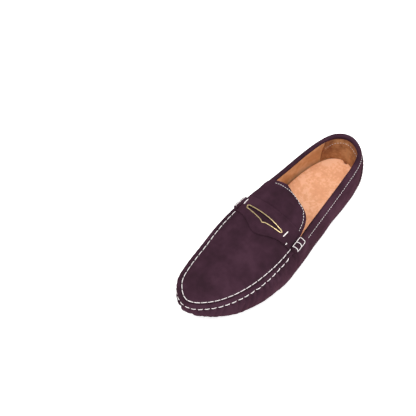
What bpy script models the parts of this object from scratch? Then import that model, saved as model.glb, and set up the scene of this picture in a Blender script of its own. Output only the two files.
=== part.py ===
"""A left-foot penny loafer of the driving kind, built from its separate leather, rubber and thread pieces.

Design units are millimetres. The toe points along -Y, the heel along +Y, the outer (lateral) side of the foot
is +X and the ground is Z = 0. Every leather layer is a loft on the same last, so the layers nest.
"""

import math

import bmesh
import bpy
import numpy as np

# ---------------------------------------------------------------- driving dimensions
MM = 0.001
ORIGIN_X, ORIGIN_Y = 3.5, 0.15  # centre of the finished shoe's outline in design coordinates
BASE = 7.0  # height of the leather bottom above the ground, which is the rubber's full depth
TOE_SPRING_FROM, TOE_SPRING = -70.0, 0.0024
HEEL_LIFT_FROM, HEEL_LIFT = 105.0, 0.002

UPPER = 1.6  # thickness of the burgundy upper leather
LINING = 0.9
COUNTER = 1.4
CLEAR = 0.4  # clearance between neighbouring layers
THREAD = 0.4  # thread radius
HEAVY_THREAD = 0.55

# The last, heel to toe: y, x outer, x inner, flare to the widest line, its height, inset of the top edge on the
# outer side and on the inner side, height of the top edge
SECTIONS = (
    (134.5, 0.0, 0.0, 6.5, 36.0, 3.5, 3.5, 69.0),
    (128.0, 18.0, -15.0, 6.5, 35.0, 5.0, 5.0, 68.5),
    (112.5, 27.0, -24.0, 7.0, 33.0, 7.5, 7.5, 67.0),
    (88.0, 31.0, -29.0, 7.5, 31.0, 8.5, 8.5, 64.0),
    (55.0, 34.0, -31.0, 8.0, 30.0, 8.0, 8.0, 61.0),
    (20.0, 38.5, -33.5, 8.0, 29.0, 8.0, 7.5, 60.0),
    (-15.0, 44.0, -37.5, 8.0, 27.0, 8.5, 8.0, 59.5),
    (-48.0, 45.5, -38.5, 7.5, 25.0, 9.0, 7.5, 54.0),
    (-80.0, 40.0, -35.5, 7.5, 24.0, 9.0, 7.0, 47.0),
    (-106.0, 29.0, -31.5, 8.0, 24.0, 8.5, 6.0, 42.0),
    (-125.0, 12.5, -24.5, 9.0, 24.5, 6.5, 5.5, 39.0),
    (-134.5, -7.0, -7.0, 10.0, 25.0, 4.5, 4.5, 37.5),
)
STATIONS = 2 * (len(SECTIONS) - 1)
TOE = STATIONS // 2  # station number of the toe's tip; 0 is the back of the heel
WIDEST = 0.5  # share of the wall's height parameter at its widest line
TOP_LEAN = math.radians(62)

SEAM_END = 6.0  # station where the moccasin seam stops and the tongue begins
TONGUE_LENGTH, TONGUE_RISE = 36.5, 13.0
TONGUE_TAPER_OUTER, TONGUE_TAPER_INNER = 11.0, 5.0
TONGUE_SQUARENESS = 9.0
TONGUE_SQUARER_INSIDE = 9.0
TONGUE_SKEW = 7.0  # extra length of the tongue on its inner side
CROWN_STATIONS = (6.0, 7.0, 8.0, 9.0, 10.0, 11.0)
CROWN_HEIGHTS = (11.0, 8.5, 6.5, 5.0, 3.0, 1.0)
APRON_INSET = 2.2  # the apron's edge stands this far inside the wall's top edge

STRAP_REAR, STRAP_FRONT, STRAP_WING = -2.5, -26.0, 11.5
STRAP_RIDE = 0.4
SLOT_HALF, SLOT_Y, SLOT_WIDTH, SLOT_NOTCH = 23.5, -17.2, 4.2, 4.0
SLOT_CENTRE_X = -1.0
COLLAR_END = 5.6  # station of the collar's front ends
COLLAR_DROP = 0.13  # wall parameter at the collar's lower edge
QUARTER_ROWS = (0.05, COLLAR_DROP / 2, COLLAR_DROP, 0.26, 0.4, 0.52, 0.66, 0.84)

FOREFOOT = (-128.0, -21.0)  # front and rear of each window in the leather bottom
SHANK = (-14.0, 27.0)
HEEL = (34.0, 121.0)
SHANK_RIB = 4.0  # half width of the leather rib between the two shank windows
FLANGE = 3.0  # how far a rubber unit reaches under the leather around its window
GROOVE_DEPTH = 4.0
GROOVE_WIDTH = 3.0

HEEL_PAD = 3.0  # how much thicker the foam is under the heel

TAB_TOP, TAB_FOOT = 0.19, 0.93
TAB, TAB_GAP = 1.2, 0.6
TAB_HALF_TOP, TAB_HALF_FOOT = 1.2, 1.9  # half widths in stations
GUARD_TOP, GUARD_FOOT = 0.36, 0.86
GUARD_DEPTH = 3.4
GUARD_HALF_TOP, GUARD_HALF_FOOT = 0.6, 1.28
GUARD_GROOVES = (0.47, 0.6, 0.73)  # wall parameters of the grooves' centre lines
HOLE_MARGIN = 0.06  # stations between the guard and the edge of its opening in the tab

BURGUNDY = "#4a2e3a"
TAN = "#9a683f"
PEACH = "#e3ab80"
RUBBER = "#2c2d31"
GOLD = "#b79a63"
WHITE = "#e6dfdc"
FOAM = "#d8cfb8"
BOARD = "#8a7a62"


# ---------------------------------------------------------------- the last as functions
def around(outer_column, inner_column=None):
    """One column of SECTIONS as a closed ring of stations: down the outer side, then up the inner side."""
    inner_column = outer_column if inner_column is None else inner_column
    outer = [row[outer_column] for row in SECTIONS]
    inner = [row[inner_column] for row in SECTIONS[-2:0:-1]]
    return np.array(outer + inner)


RING_Y, RING_X = around(0), around(1, 2)
RING_FLARE, RING_WIDEST_Z = around(3), around(4)
RING_INSET, RING_TOP_Z = around(5, 6), around(7)


def along_ring(values, k):
    """A closed Catmull-Rom curve through the station values, read at station number k."""
    k = np.asarray(k, float) % STATIONS
    i = np.floor(k).astype(int)
    f = k - i
    p0, p1, p2, p3 = (values[(i + step) % STATIONS] for step in (-1, 0, 1, 2))
    cubic = 3 * p1 - p0 - 3 * p2 + p3
    return 0.5 * (2 * p1 + (p2 - p0) * f + (2 * p0 - 5 * p1 + 4 * p2 - p3) * f**2 + cubic * f**3)


def bottom_z(y):
    """Height of the leather bottom: flat under the foot, rising at the toe and a little at the heel."""
    toe = np.minimum(np.asarray(y, float) - TOE_SPRING_FROM, 0)
    heel = np.maximum(np.asarray(y, float) - HEEL_LIFT_FROM, 0)
    return BASE + TOE_SPRING * toe**2 + HEEL_LIFT * heel**2


def outward(k):
    """Unit normal of the bottom outline in plan."""
    step = 0.05
    tx = along_ring(RING_X, k + step) - along_ring(RING_X, k - step)
    ty = along_ring(RING_Y, k + step) - along_ring(RING_Y, k - step)
    length = np.hypot(tx, ty)
    return np.stack([-ty / length, tx / length], -1)


def feather(k, out=0.0):
    """The edge where the wall turns under the foot, moved outwards in plan by out."""
    plan = np.stack([along_ring(RING_X, k), along_ring(RING_Y, k)], -1) + outward(k) * out
    return np.concatenate([plan, bottom_z(plan[..., 1])[..., None]], -1)


def widest(k):
    plan = feather(k)[..., :2] + outward(k) * along_ring(RING_FLARE, k)[..., None]
    return np.concatenate([plan, along_ring(RING_WIDEST_Z, k)[..., None]], -1)


def rim(k):
    """The wall's top edge: the moccasin seam in front, the topline behind."""
    plan = widest(k)[..., :2] - outward(k) * along_ring(RING_INSET, k)[..., None]
    return np.concatenate([plan, along_ring(RING_TOP_Z, k)[..., None]], -1)


def wall(k, v):
    """The outer face of the wall at station k; v runs from 0 at the top edge to 1 at the feather edge."""
    k, v = np.broadcast_arrays(np.asarray(k, float), np.asarray(v, float))
    low, mid, top = feather(k), widest(k), rim(k)
    lean = TOP_LEAN * (1 - np.clip(v / WIDEST, 0, 1))
    turn = np.clip((v - WIDEST) / (1 - WIDEST), 0, 1) * math.pi / 2
    upper = (v <= WIDEST)[..., None]
    inwards = ((1 - np.cos(lean)) / (1 - math.cos(TOP_LEAN)))[..., None]
    up = (np.sin(lean) / math.sin(TOP_LEAN))[..., None]
    plan_up = mid[..., :2] + (top[..., :2] - mid[..., :2]) * inwards
    plan_down = low[..., :2] + (mid[..., :2] - low[..., :2]) * np.cos(turn)[..., None]
    z_up = mid[..., 2:] + (top[..., 2:] - mid[..., 2:]) * up
    z_down = low[..., 2:] + (mid[..., 2:] - low[..., 2:]) * (1 - np.sin(turn))[..., None]
    return np.where(upper, np.concatenate([plan_up, z_up], -1), np.concatenate([plan_down, z_down], -1))


def unit(vectors):
    return vectors / np.linalg.norm(vectors, axis=-1, keepdims=True)


def layer(k, v, depth):
    """The wall moved inwards by depth along its own normal; a negative depth is outside it."""
    k, v = np.broadcast_arrays(np.asarray(k, float), np.asarray(v, float))
    step = 0.02
    along = wall(k + step, v) - wall(k - step, v)
    down = wall(k, np.minimum(v + step, 1)) - wall(k, np.maximum(v - step, 0))
    return wall(k, v) - unit(np.cross(along, down)) * np.asarray(depth)[..., None]


def apron(u, w, inset=APRON_INSET):
    """The top face of the apron.

    u is 0 at the toe, 1 at the seam's end and 2 at the tongue's end. w is 0 on the inner side, 1 on the outer.
    """
    u, w = np.broadcast_arrays(np.asarray(u, float), np.asarray(w, float))
    k = TOE + (SEAM_END - TOE) * np.clip(u, 0, 1)

    def edge(station):
        point = rim(station)
        point[..., :2] -= outward(station) * inset
        return point

    outer, inner = edge(k), edge(STATIONS - k)
    arch = 1 - (2 * w - 1) ** 2
    front = inner + (outer - inner) * w[..., None]
    front[..., 2] += np.interp(k, CROWN_STATIONS, CROWN_HEIGHTS) * arch
    s = np.clip(u - 1, 0, 1)
    start_outer, start_inner = edge(SEAM_END), edge(STATIONS - SEAM_END)
    right = start_outer[0] - TONGUE_TAPER_OUTER * s
    left = start_inner[0] + TONGUE_TAPER_INNER * s
    across = (2 * w - 1) * (1 - s ** (TONGUE_SQUARENESS + TONGUE_SQUARER_INSIDE * (1 - w))) ** 0.5
    x = (right + left) / 2 + (right - left) / 2 * across
    y = start_inner[1] + (start_outer[1] - start_inner[1]) * w + (TONGUE_LENGTH + TONGUE_SKEW * (1 - w)) * s
    z = start_inner[2] + (start_outer[2] - start_inner[2]) * w + TONGUE_RISE * s**1.1
    z = z + CROWN_HEIGHTS[0] * (1 - across**2) * (1 - 0.15 * s)
    return np.where((u > 1)[..., None], np.stack([x, y, z], -1), front)


def apron_at(w, y):
    """The apron point on the line w at the length y, found by halving."""
    w, y = np.broadcast_arrays(np.asarray(w, float), np.asarray(y, float))
    low, high = np.zeros(w.shape), np.full(w.shape, 1.8)
    for _ in range(30):
        middle = (low + high) / 2
        short = apron(middle, w)[..., 1] < y
        low, high = np.where(short, middle, low), np.where(short, high, middle)
    return apron(low, w)


def apron_lift(w, y, lift):
    """The apron point raised along the surface's normal."""
    step = 0.5
    along = apron_at(w, y + step) - apron_at(w, y - step)
    across = apron_at(w + 0.01, y) - apron_at(w - 0.01, y)
    return apron_at(w, y) + unit(np.cross(across, along)) * np.asarray(lift)[..., None]


# ---------------------------------------------------------------- scene, materials and mesh helpers
def clear_scene():
    for obj in list(bpy.data.objects):
        bpy.data.objects.remove(obj)


def collection(name):
    made = bpy.data.collections.new(name)
    bpy.context.scene.collection.children.link(made)
    return made


def linear(hex_colour):
    channels = [int(hex_colour[i : i + 2], 16) / 255 for i in (1, 3, 5)]
    return [c / 12.92 if c <= 0.04045 else ((c + 0.055) / 1.055) ** 2.4 for c in channels] + [1.0]


def material(name, colour, roughness, metallic=0.0):
    made = bpy.data.materials.new(name)
    made.use_nodes = True
    shader = made.node_tree.nodes["Principled BSDF"]
    shader.inputs["Base Color"].default_value = linear(colour)
    shader.inputs["Roughness"].default_value = roughness
    shader.inputs["Metallic"].default_value = metallic
    return made


def to_frame(points):
    """Design millimetres to the part's frame in metres."""
    return (np.asarray(points, float) - (ORIGIN_X, ORIGIN_Y, 0)) * MM


def mesh_object(name, vertices, faces, finish, smooth=True):
    """A mesh object whose doubled points are merged."""
    mesh = bpy.data.meshes.new(name)
    mesh.from_pydata([tuple(p) for p in to_frame(vertices)], [], faces)
    work = bmesh.new()
    work.from_mesh(mesh)
    bmesh.ops.remove_doubles(work, verts=work.verts, dist=0.02 * MM)
    bmesh.ops.dissolve_degenerate(work, edges=work.edges, dist=0.02 * MM)
    work.to_mesh(mesh)
    work.free()
    if smooth:
        mesh.shade_smooth()
    obj = bpy.data.objects.new(name, mesh)
    SHOE.objects.link(obj)
    if finish:
        obj.data.materials.append(finish)
    return obj


def grid_faces(rows, columns, closed=False, start=0):
    """Quads of a grid of points numbered row by row; closed joins the last row to the first."""
    faces = []
    for i in range(rows if closed else rows - 1):
        for j in range(columns - 1):
            a, b = i * columns + j, ((i + 1) % rows) * columns + j
            faces.append((start + a, start + b, start + b + 1, start + a + 1))
    return faces


def recalculated(obj):
    work = bmesh.new()
    work.from_mesh(obj.data)
    bmesh.ops.recalc_face_normals(work, faces=work.faces)
    work.to_mesh(obj.data)
    work.free()
    return obj


def skin(name, outer, inner, finish, closed=False):
    """A solid sheet between two grids of the same size, its outer and its inner face."""
    rows, columns = outer.shape[:2]
    count = rows * columns
    points = np.concatenate([outer.reshape(-1, 3), inner.reshape(-1, 3)])
    faces = grid_faces(rows, columns, closed)
    faces += [tuple(reversed([count + i for i in face])) for face in faces]
    borders = []
    for j in (0, columns - 1):
        line = [i * columns + j for i in range(rows)]
        borders.append(line + line[:1] if closed else line)
    if not closed:
        borders += [list(range(columns)), [(rows - 1) * columns + j for j in range(columns)]]
    for line in borders:
        faces += [(a, b, b + count, a + count) for a, b in zip(line, line[1:])]
    return recalculated(mesh_object(name, points, faces, finish))


def loft(name, sections, finish):
    """A solid through closed sections of equal point count, with flat ends."""
    sections = np.asarray(sections)
    rows, columns = sections.shape[:2]
    faces = []
    for i in range(rows - 1):
        for j in range(columns):
            a, b = i * columns + j, i * columns + (j + 1) % columns
            faces.append((a, b, b + columns, a + columns))
    faces.append(tuple(range(columns)))
    faces.append(tuple((rows - 1) * columns + j for j in range(columns)))
    return recalculated(mesh_object(name, sections.reshape(-1, 3), faces, finish))


def tube(name, points, radius, finish, cyclic=False):
    """A length of thread or wire as a bevelled curve."""
    curve = bpy.data.curves.new(name, "CURVE")
    curve.dimensions = "3D"
    curve.bevel_depth = radius * MM
    curve.bevel_resolution = 0
    curve.use_fill_caps = not cyclic
    spline = curve.splines.new("POLY")
    spline.points.add(len(points) - 1)
    for target, point in zip(spline.points, to_frame(points)):
        target.co = (*point, 1)
    spline.use_cyclic_u = cyclic
    obj = bpy.data.objects.new(name, curve)
    SHOE.objects.link(obj)
    obj.data.materials.append(finish)
    return obj


def as_cutter(obj):
    obj.hide_render = True
    obj.display_type = "WIRE"
    for owner in list(obj.users_collection):
        owner.objects.unlink(obj)
    CUTTERS.objects.link(obj)
    return obj


def combine(obj, other, operation):
    step = obj.modifiers.new(f"{operation.lower()}_{other.name}", "BOOLEAN")
    step.operation = operation
    step.object = as_cutter(other)
    return obj


# ---------------------------------------------------------------- outlines on the bottom
def side_x(y, outer, out):
    """x of the feather edge, moved by out, on one side of the foot at the length y."""
    k = np.linspace(0, TOE, 400) if outer else np.linspace(STATIONS, TOE, 400)
    edge = feather(k, out)
    return np.interp(-np.asarray(y, float), -edge[:, 1], edge[:, 0])


def forefoot_window(y, grow=0.0):
    """Inner and outer x of the forefoot window; its rear corners are cut off."""
    front, rear = FOREFOOT
    full = np.stack([side_x(y, False, grow - 2.5), side_x(y, True, grow - 2.5)])
    share = np.clip((y - (rear - 20)) / 20, 0, 1)
    narrow = np.stack([full[0] + 18 * share**1.2, full[1] - 20 * share**1.2])
    tip = np.clip((y - front) / 6, 0, 1)
    middle = (narrow[0] + narrow[1]) / 2
    return middle + (narrow - middle) * (0.72 + 0.28 * tip)


def heel_window(y, grow=0.0):
    """Inner and outer x of the heel window; cut corners in front and a round back."""
    front, rear = HEEL
    full = np.stack([side_x(y, False, grow - 3.5), side_x(y, True, grow - 3.5)])
    middle = (full[0] + full[1]) / 2
    cut = 0.55 + 0.45 * np.clip((y - front) / 11, 0, 1)
    back = np.sqrt(np.clip(1 - np.clip((y - (rear - 14)) / 16, 0, 1) ** 2, 0, 1))
    return middle + (full - middle) * cut * back


def shank_window(y, outer, grow=0.0):
    """Inner and outer x of one shank window, a trapezoid beside the leather rib."""
    front, rear = SHANK
    share = np.clip((np.asarray(y, float) - front) / (rear - front), 0, 1)
    rib = SHANK_RIB + 5 * (2 * share - 1) ** 2
    if outer:
        return np.stack([rib - grow, side_x(y, True, grow - 4.0)])
    return np.stack([side_x(y, False, grow - 4.0), grow - rib])


def slab(name, ys, edges, low, high, finish, columns=5):
    """A solid between two heights over a plan given by its inner and outer x at each length y."""
    across = np.linspace(0, 1, columns)
    x = edges[0][:, None] + (edges[1] - edges[0])[:, None] * across
    y = np.repeat(np.asarray(ys)[:, None], columns, 1)
    top = np.stack([x, y, np.repeat(np.asarray(high)[:, None], columns, 1)], -1)
    under = np.stack([x, y, np.repeat(np.asarray(low)[:, None], columns, 1)], -1)
    return skin(name, top, under, finish)


def rows_between(front, rear, count):
    """Lengths that crowd towards both ends, where an outline turns fastest."""
    return (front + rear) / 2 - (rear - front) / 2 * np.cos(np.linspace(0, math.pi, count))


def channel(name, path, width, depth):
    """A cutter for one tread groove along a path of (x, y), sunk from below the ground into the rubber."""
    path = np.asarray(path, float)
    side = np.gradient(path, axis=0)
    side = unit(np.stack([-side[:, 1], side[:, 0]], -1)) * width / 2
    roof = bottom_z(path[:, 1]) - BASE + depth
    sections = []
    for point, offset, z in zip(path, side, roof):
        a, b = point + offset, point - offset
        sections.append([(*a, -3), (*b, -3), (*b, z), (*a, z)])
    return loft(name, sections, None)


# ---------------------------------------------------------------- the pieces
def wrap_upper(finish):
    """The one-piece leather wall that wraps under the foot, with the four windows for the rubber."""
    ks = np.arange(0, STATIONS, 0.5)
    vs = np.array([0, 0.12, 0.26, 0.4, 0.52, 0.66, 0.8, 0.91, 1.0])
    k, v = np.meshgrid(ks, vs, indexing="ij")
    rows, columns, cross = len(ks), len(vs), 4
    points = [layer(k, v, depth) for depth in (0.0, UPPER)]
    for face in points:
        face[:, -1, 2] = bottom_z(face[:, -1, 1]) + (UPPER if face is points[1] else 0)
    count = rows * columns
    vertices = [p.reshape(-1, 3) for p in points]
    faces = grid_faces(rows, columns, closed=True)
    faces += [tuple(reversed([count + i for i in face])) for face in faces]
    tops = [i * columns for i in range(rows)] + [0]
    faces += [(a, b, b + count, a + count) for a, b in zip(tops, tops[1:])]
    number = 2 * count
    for side, grid in enumerate(points):
        last = [[side * count + i * columns + columns - 1] for i in range(rows)]
        lines = [last[0]]
        for i in range(1, rows // 2):
            a, b = grid[i, -1], grid[rows - i, -1]
            inner = [a + (b - a) * j / cross for j in range(1, cross)]
            vertices.append(np.array(inner))
            lines.append(last[i] + [number + j for j in range(cross - 1)] + last[rows - i])
            number += cross - 1
        lines.append(last[rows // 2])
        for one, two in zip(lines, lines[1:]):
            for j in range(cross):
                quad = [one[min(j, len(one) - 1)], one[min(j + 1, len(one) - 1)]]
                quad += [two[min(j + 1, len(two) - 1)], two[min(j, len(two) - 1)]]
                faces.append(tuple(dict.fromkeys(quad)))
    obj = recalculated(mesh_object("wrap_upper", np.concatenate(vertices), faces, finish))
    for name, ys, edges in windows():
        opening = slab(f"{name}_opening", ys, edges, 0 * ys - 2, bottom_z(ys) + 4.5, None, 2)
        combine(obj, opening, "DIFFERENCE")
    return obj


def windows(grow=0.0, lengthen=0.0):
    """Name, lengths and edges of the four windows in the leather bottom."""
    found = []
    for name, span, shape, count in (
        ("forefoot", FOREFOOT, forefoot_window, 15),
        ("heel", HEEL, heel_window, 13),
        ("shank_outer", SHANK, lambda y, g: shank_window(y, True, g), 6),
        ("shank_inner", SHANK, lambda y, g: shank_window(y, False, g), 6),
    ):
        ys = rows_between(span[0] - lengthen, span[1] + lengthen, count)
        found.append((name, ys, shape(ys, grow)))
    return found


def rubber_units(finish):
    """The rubber units: each has a flange over the leather and a body through the window, and two have lugs."""
    names = {
        "forefoot": "forefoot_outsole",
        "heel": "heel_outsole",
        "shank_outer": "shank_pad_outer",
        "shank_inner": "shank_pad_inner",
    }
    bodies = {name: (ys, edges) for name, ys, edges in windows(-CLEAR, -CLEAR)}
    for name, ys, edges in windows(FLANGE - 1.0, 1.5):
        base = bottom_z(ys)
        made = slab(names[name], ys, edges, base + UPPER + CLEAR, base + UPPER + CLEAR + 1, finish)
        ys, edges = bodies[name]
        base = bottom_z(ys)
        treads = name in ("forefoot", "heel")
        foot = base - BASE if treads else base - 2.2
        combine(made, slab(f"{name}_body", ys, edges, foot, base + UPPER + CLEAR + 0.5, finish), "UNION")
        if treads:
            for cutter in forefoot_grooves() if name == "forefoot" else heel_grooves():
                combine(made, cutter, "DIFFERENCE")


def forefoot_grooves():
    """Two wandering grooves along the forefoot and five stepped ones across it."""
    made = []
    for i, (x, bend) in enumerate(((15.0, 1), (-15.0, -1))):
        ys = np.linspace(-140, -12, 22)
        xs = x + 3.0 * bend * np.sign(np.sin(ys / 6.5)) * np.abs(np.sin(ys / 6.5)) ** 0.5 - 4
        made.append(channel(f"forefoot_long_{i}", np.stack([xs, ys], -1), GROOVE_WIDTH, GROOVE_DEPTH))
    for i, y in enumerate((-112, -93, -74, -55, -37)):
        xs = np.linspace(-60, 60, 15)
        ys = y + 5.0 * np.tanh(np.sin(xs / 9.0 + i) * 2) + 0.05 * np.abs(xs)
        made.append(channel(f"forefoot_cross_{i}", np.stack([xs, ys], -1), GROOVE_WIDTH, GROOVE_DEPTH + 0.05))
    return made


def heel_grooves():
    """One wandering groove along the heel and three stepped ones across it."""
    ys = np.linspace(20, 130, 16)
    xs = 1.5 + 4.5 * np.tanh(2 * np.sin(ys / 7.5))
    made = [channel("heel_long", np.stack([xs, ys], -1), GROOVE_WIDTH, GROOVE_DEPTH)]
    for i, y in enumerate((53, 74, 95)):
        xs = np.linspace(-45, 48, 12)
        ys = y + 4.5 * np.tanh(np.sin(xs / 8.0 + 1.5 * i) * 2)
        made.append(channel(f"heel_cross_{i}", np.stack([xs, ys], -1), GROOVE_WIDTH, GROOVE_DEPTH + 0.05))
    return made


def on_wall(name, ks, vs, outer_depth, inner_depth, finish):
    """A sheet between two depths behind the wall."""
    k, v = np.meshgrid(ks, vs, indexing="ij")
    return skin(name, layer(k, v, outer_depth), layer(k, v, inner_depth), finish)


def linings(leather_finish, counter_finish, foam_finish):
    """Everything between the wall and the foot."""
    start = UPPER + CLEAR
    low_rows = [0.26, 0.4, 0.52, 0.66, 0.84]
    vamp = np.arange(6.0, 16.1, 0.5)
    on_wall("vamp_lining", vamp, [0.1] + low_rows, start, start + LINING, leather_finish)
    inside = start + COUNTER + CLEAR
    rear = np.arange(-5.0, 5.1, 0.5)
    on_wall("quarter_lining", rear, QUARTER_ROWS, inside, inside + LINING, leather_finish)
    on_wall("heel_counter", np.arange(-4.0, 4.1, 0.5), low_rows, start, start + COUNTER, counter_finish)
    on_wall("collar_foam", rear, [0.05, 0.12, 0.22], start, start + COUNTER, foam_finish)
    patch = inside + LINING + CLEAR
    heel = np.arange(-2.0, 2.1, 0.5)
    on_wall("heel_grip_lining", heel, [0.17, 0.3, 0.45, 0.6, 0.7], patch, patch + LINING, leather_finish)


def collar(finish):
    """The band folded over the topline, with one leg outside the wall and one inside the lining."""
    ks = np.linspace(-COLLAR_END, COLLAR_END, 23)
    v = np.array([COLLAR_DROP, COLLAR_DROP / 2, 0.0])
    thickness = 1.0
    leg_in = UPPER + COUNTER + LINING + 3 * CLEAR

    def section(k):
        outside = [layer(k, x, -CLEAR - thickness) for x in v]
        outside_back = [layer(k, x, -CLEAR) for x in v]
        inside_back = [layer(k, x, leg_in) for x in v]
        inside = [layer(k, x, leg_in + thickness) for x in v]
        top = rim(k)
        crest = (layer(k, 0.0, 0.4) + layer(k, 0.0, leg_in)) / 2
        over = crest + (0, 0, 2.8)
        under = crest + (0, 0, 1.6)
        outside[2][2] = max(outside[2][2], top[2] + 0.8)
        outside_back[2][2] = max(outside_back[2][2], top[2] + 0.3)
        inside[2][2] += 0.8
        inside_back[2][2] += 0.5
        return outside + [over] + inside[::-1] + inside_back + [under] + outside_back[::-1]

    return loft("collar_binding", [section(k) for k in ks], finish)


def apron_pieces(leather_finish, lining_finish):
    """The top plug with its tongue, and the thin hide under it."""
    toe = [0.012, 0.03, 0.06, 0.11, 0.18, 0.28]
    us = np.concatenate([toe, np.linspace(0.4, 1.0, 7), np.linspace(1.12, 1.84, 7), [1.93, 1.98]])
    ws = np.linspace(0, 1, 9)

    def sheet(name, depth, thickness, inset, us, finish):
        u, w = np.meshgrid(us, ws, indexing="ij")
        top = apron(u, w, inset)
        top[..., 2] -= depth
        under = top.copy()
        under[..., 2] -= thickness
        return skin(name, top, under, finish)

    sheet("apron", 0.0, UPPER, APRON_INSET, us, leather_finish)
    sheet("apron_lining", UPPER + CLEAR, LINING, APRON_INSET + 3.2, us[1:-2], lining_finish)


def strap_front(w):
    """Front edge of the strap: straight at the ends, swelling to a rounded wing in the middle."""
    return STRAP_FRONT - STRAP_WING * np.exp(-(((w - 0.47) / 0.22) ** 2))


def strap_pieces(leather_finish, trim_finish):
    """The saddle strap with its slot, and the metal frame round the slot."""
    ws, shares = np.linspace(0.03, 0.97, 17), np.linspace(0, 1, 6)
    w, share = np.meshgrid(ws, shares, indexing="ij")
    y = strap_front(w) * (1 - share) + STRAP_REAR * share
    top, under = apron_lift(w, y, STRAP_RIDE + UPPER), apron_lift(w, y, STRAP_RIDE)
    strap = skin("penny_strap", top, under, leather_finish)
    outline = slot_outline(0.0)
    sections = [[(x, y, z) for x, y in outline] for z in (50, 95)]
    combine(strap, loft("slot_opening", sections, None), "DIFFERENCE")
    tube("slot_trim", on_strap(slot_outline(1.3), UPPER + STRAP_RIDE + 1.1), 0.6, trim_finish, cyclic=True)


def slot_outline(grow):
    """The penny slot: a long slit whose front edge dips to a small notch in the middle."""
    half = SLOT_HALF + grow * 1.4
    xs = np.linspace(-half, half, 13)
    taper = (1 - (np.abs(xs) / half) ** 2.4) ** 0.8
    rear = SLOT_Y + (SLOT_WIDTH / 2 + grow) * taper
    notch = SLOT_NOTCH * np.maximum(0, 1 - np.abs(xs) / 7.5) ** 1.3
    front = SLOT_Y - (SLOT_WIDTH / 2 + grow) * taper - notch
    rear_line = list(zip(xs + SLOT_CENTRE_X, rear))
    front_line = list(zip(xs[1:-1] + SLOT_CENTRE_X, front[1:-1]))
    return rear_line + front_line[::-1]


def on_strap(outline, lift):
    """Plan points laid on the arched instep, at a height above the apron."""
    points = []
    for x, y in outline:
        ends = apron_at(np.array([0.0, 1.0]), np.array([y, y]))
        w = (x - ends[0, 0]) / (ends[1, 0] - ends[0, 0])
        points.append(apron_lift(np.array(w), np.array(y), lift))
    return np.array(points)


def rolls(finish, thread_finish):
    """The gathered leather rolls at the strap's ends, each bound by three turns of thread."""
    for name, sign in (("outer", 1), ("inner", -1)):
        ks = np.linspace(5.68, 6.36, 17)
        stations = ks if sign > 0 else STATIONS - ks
        out = np.concatenate([outward(stations), np.full((17, 1), 1.5)], -1)
        humps = np.linspace(0, 3 * math.pi, 17)
        radius = 2.5 + 1.1 * np.abs(np.sin(humps))
        radius[0] = radius[-1] = 1.4
        centre = rim(stations) + unit(out) * 4.3
        sections = []
        for point, normal, r in zip(centre, unit(out), radius):
            turns = np.linspace(0, 2 * math.pi, 8, endpoint=False)
            side = np.array([normal[0], normal[1], -(normal[0] ** 2 + normal[1] ** 2) / normal[2]])
            side /= np.linalg.norm(side)
            sections.append([point + r * (np.cos(a) * normal + np.sin(a) * side) for a in turns])
        loft(f"strap_roll_{name}", sections, finish)
        for number, at in enumerate((1, 2)):
            i = round(16 * at / 3)
            ring = [centre[i] + 3.6 * unit(p - centre[i]) for p in np.array(sections[i])[[6, 7, 0, 1, 2]]]
            tube(f"roll_thread_{name}_{number + 1}", ring, HEAVY_THREAD, thread_finish)


def half_width(v, span, halves):
    """Half width in stations of a patch on the heel that widens from its top to its foot."""
    share = (v - span[0]) / (span[1] - span[0])
    return halves[0] + (halves[1] - halves[0]) * share**0.8


def heel_guard(finish, halves):
    """The rubber guard, whose outer face has three wavy grooves across it."""
    rows, depths = [GUARD_TOP], [GUARD_DEPTH]
    for centre in GUARD_GROOVES:
        rows += [centre - 0.03, centre - 0.022, centre + 0.022, centre + 0.03]
        depths += [GUARD_DEPTH, GUARD_DEPTH / 2, GUARD_DEPTH / 2, GUARD_DEPTH]
    rows, depths = np.array(rows + [GUARD_FOOT]), np.array(depths + [GUARD_DEPTH])
    side = np.linspace(-1, 1, 15)[None, :]
    v = np.repeat(rows[:, None], 15, 1)
    k = side * half_width(v, (GUARD_TOP, GUARD_FOOT), halves)
    v[1:-1] += 0.018 * np.sin(9 * side)
    outer = layer(k, v, -CLEAR - np.repeat(depths[:, None], 15, 1))
    return skin("heel_guard", outer, layer(k, v, -CLEAR), finish)


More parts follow.
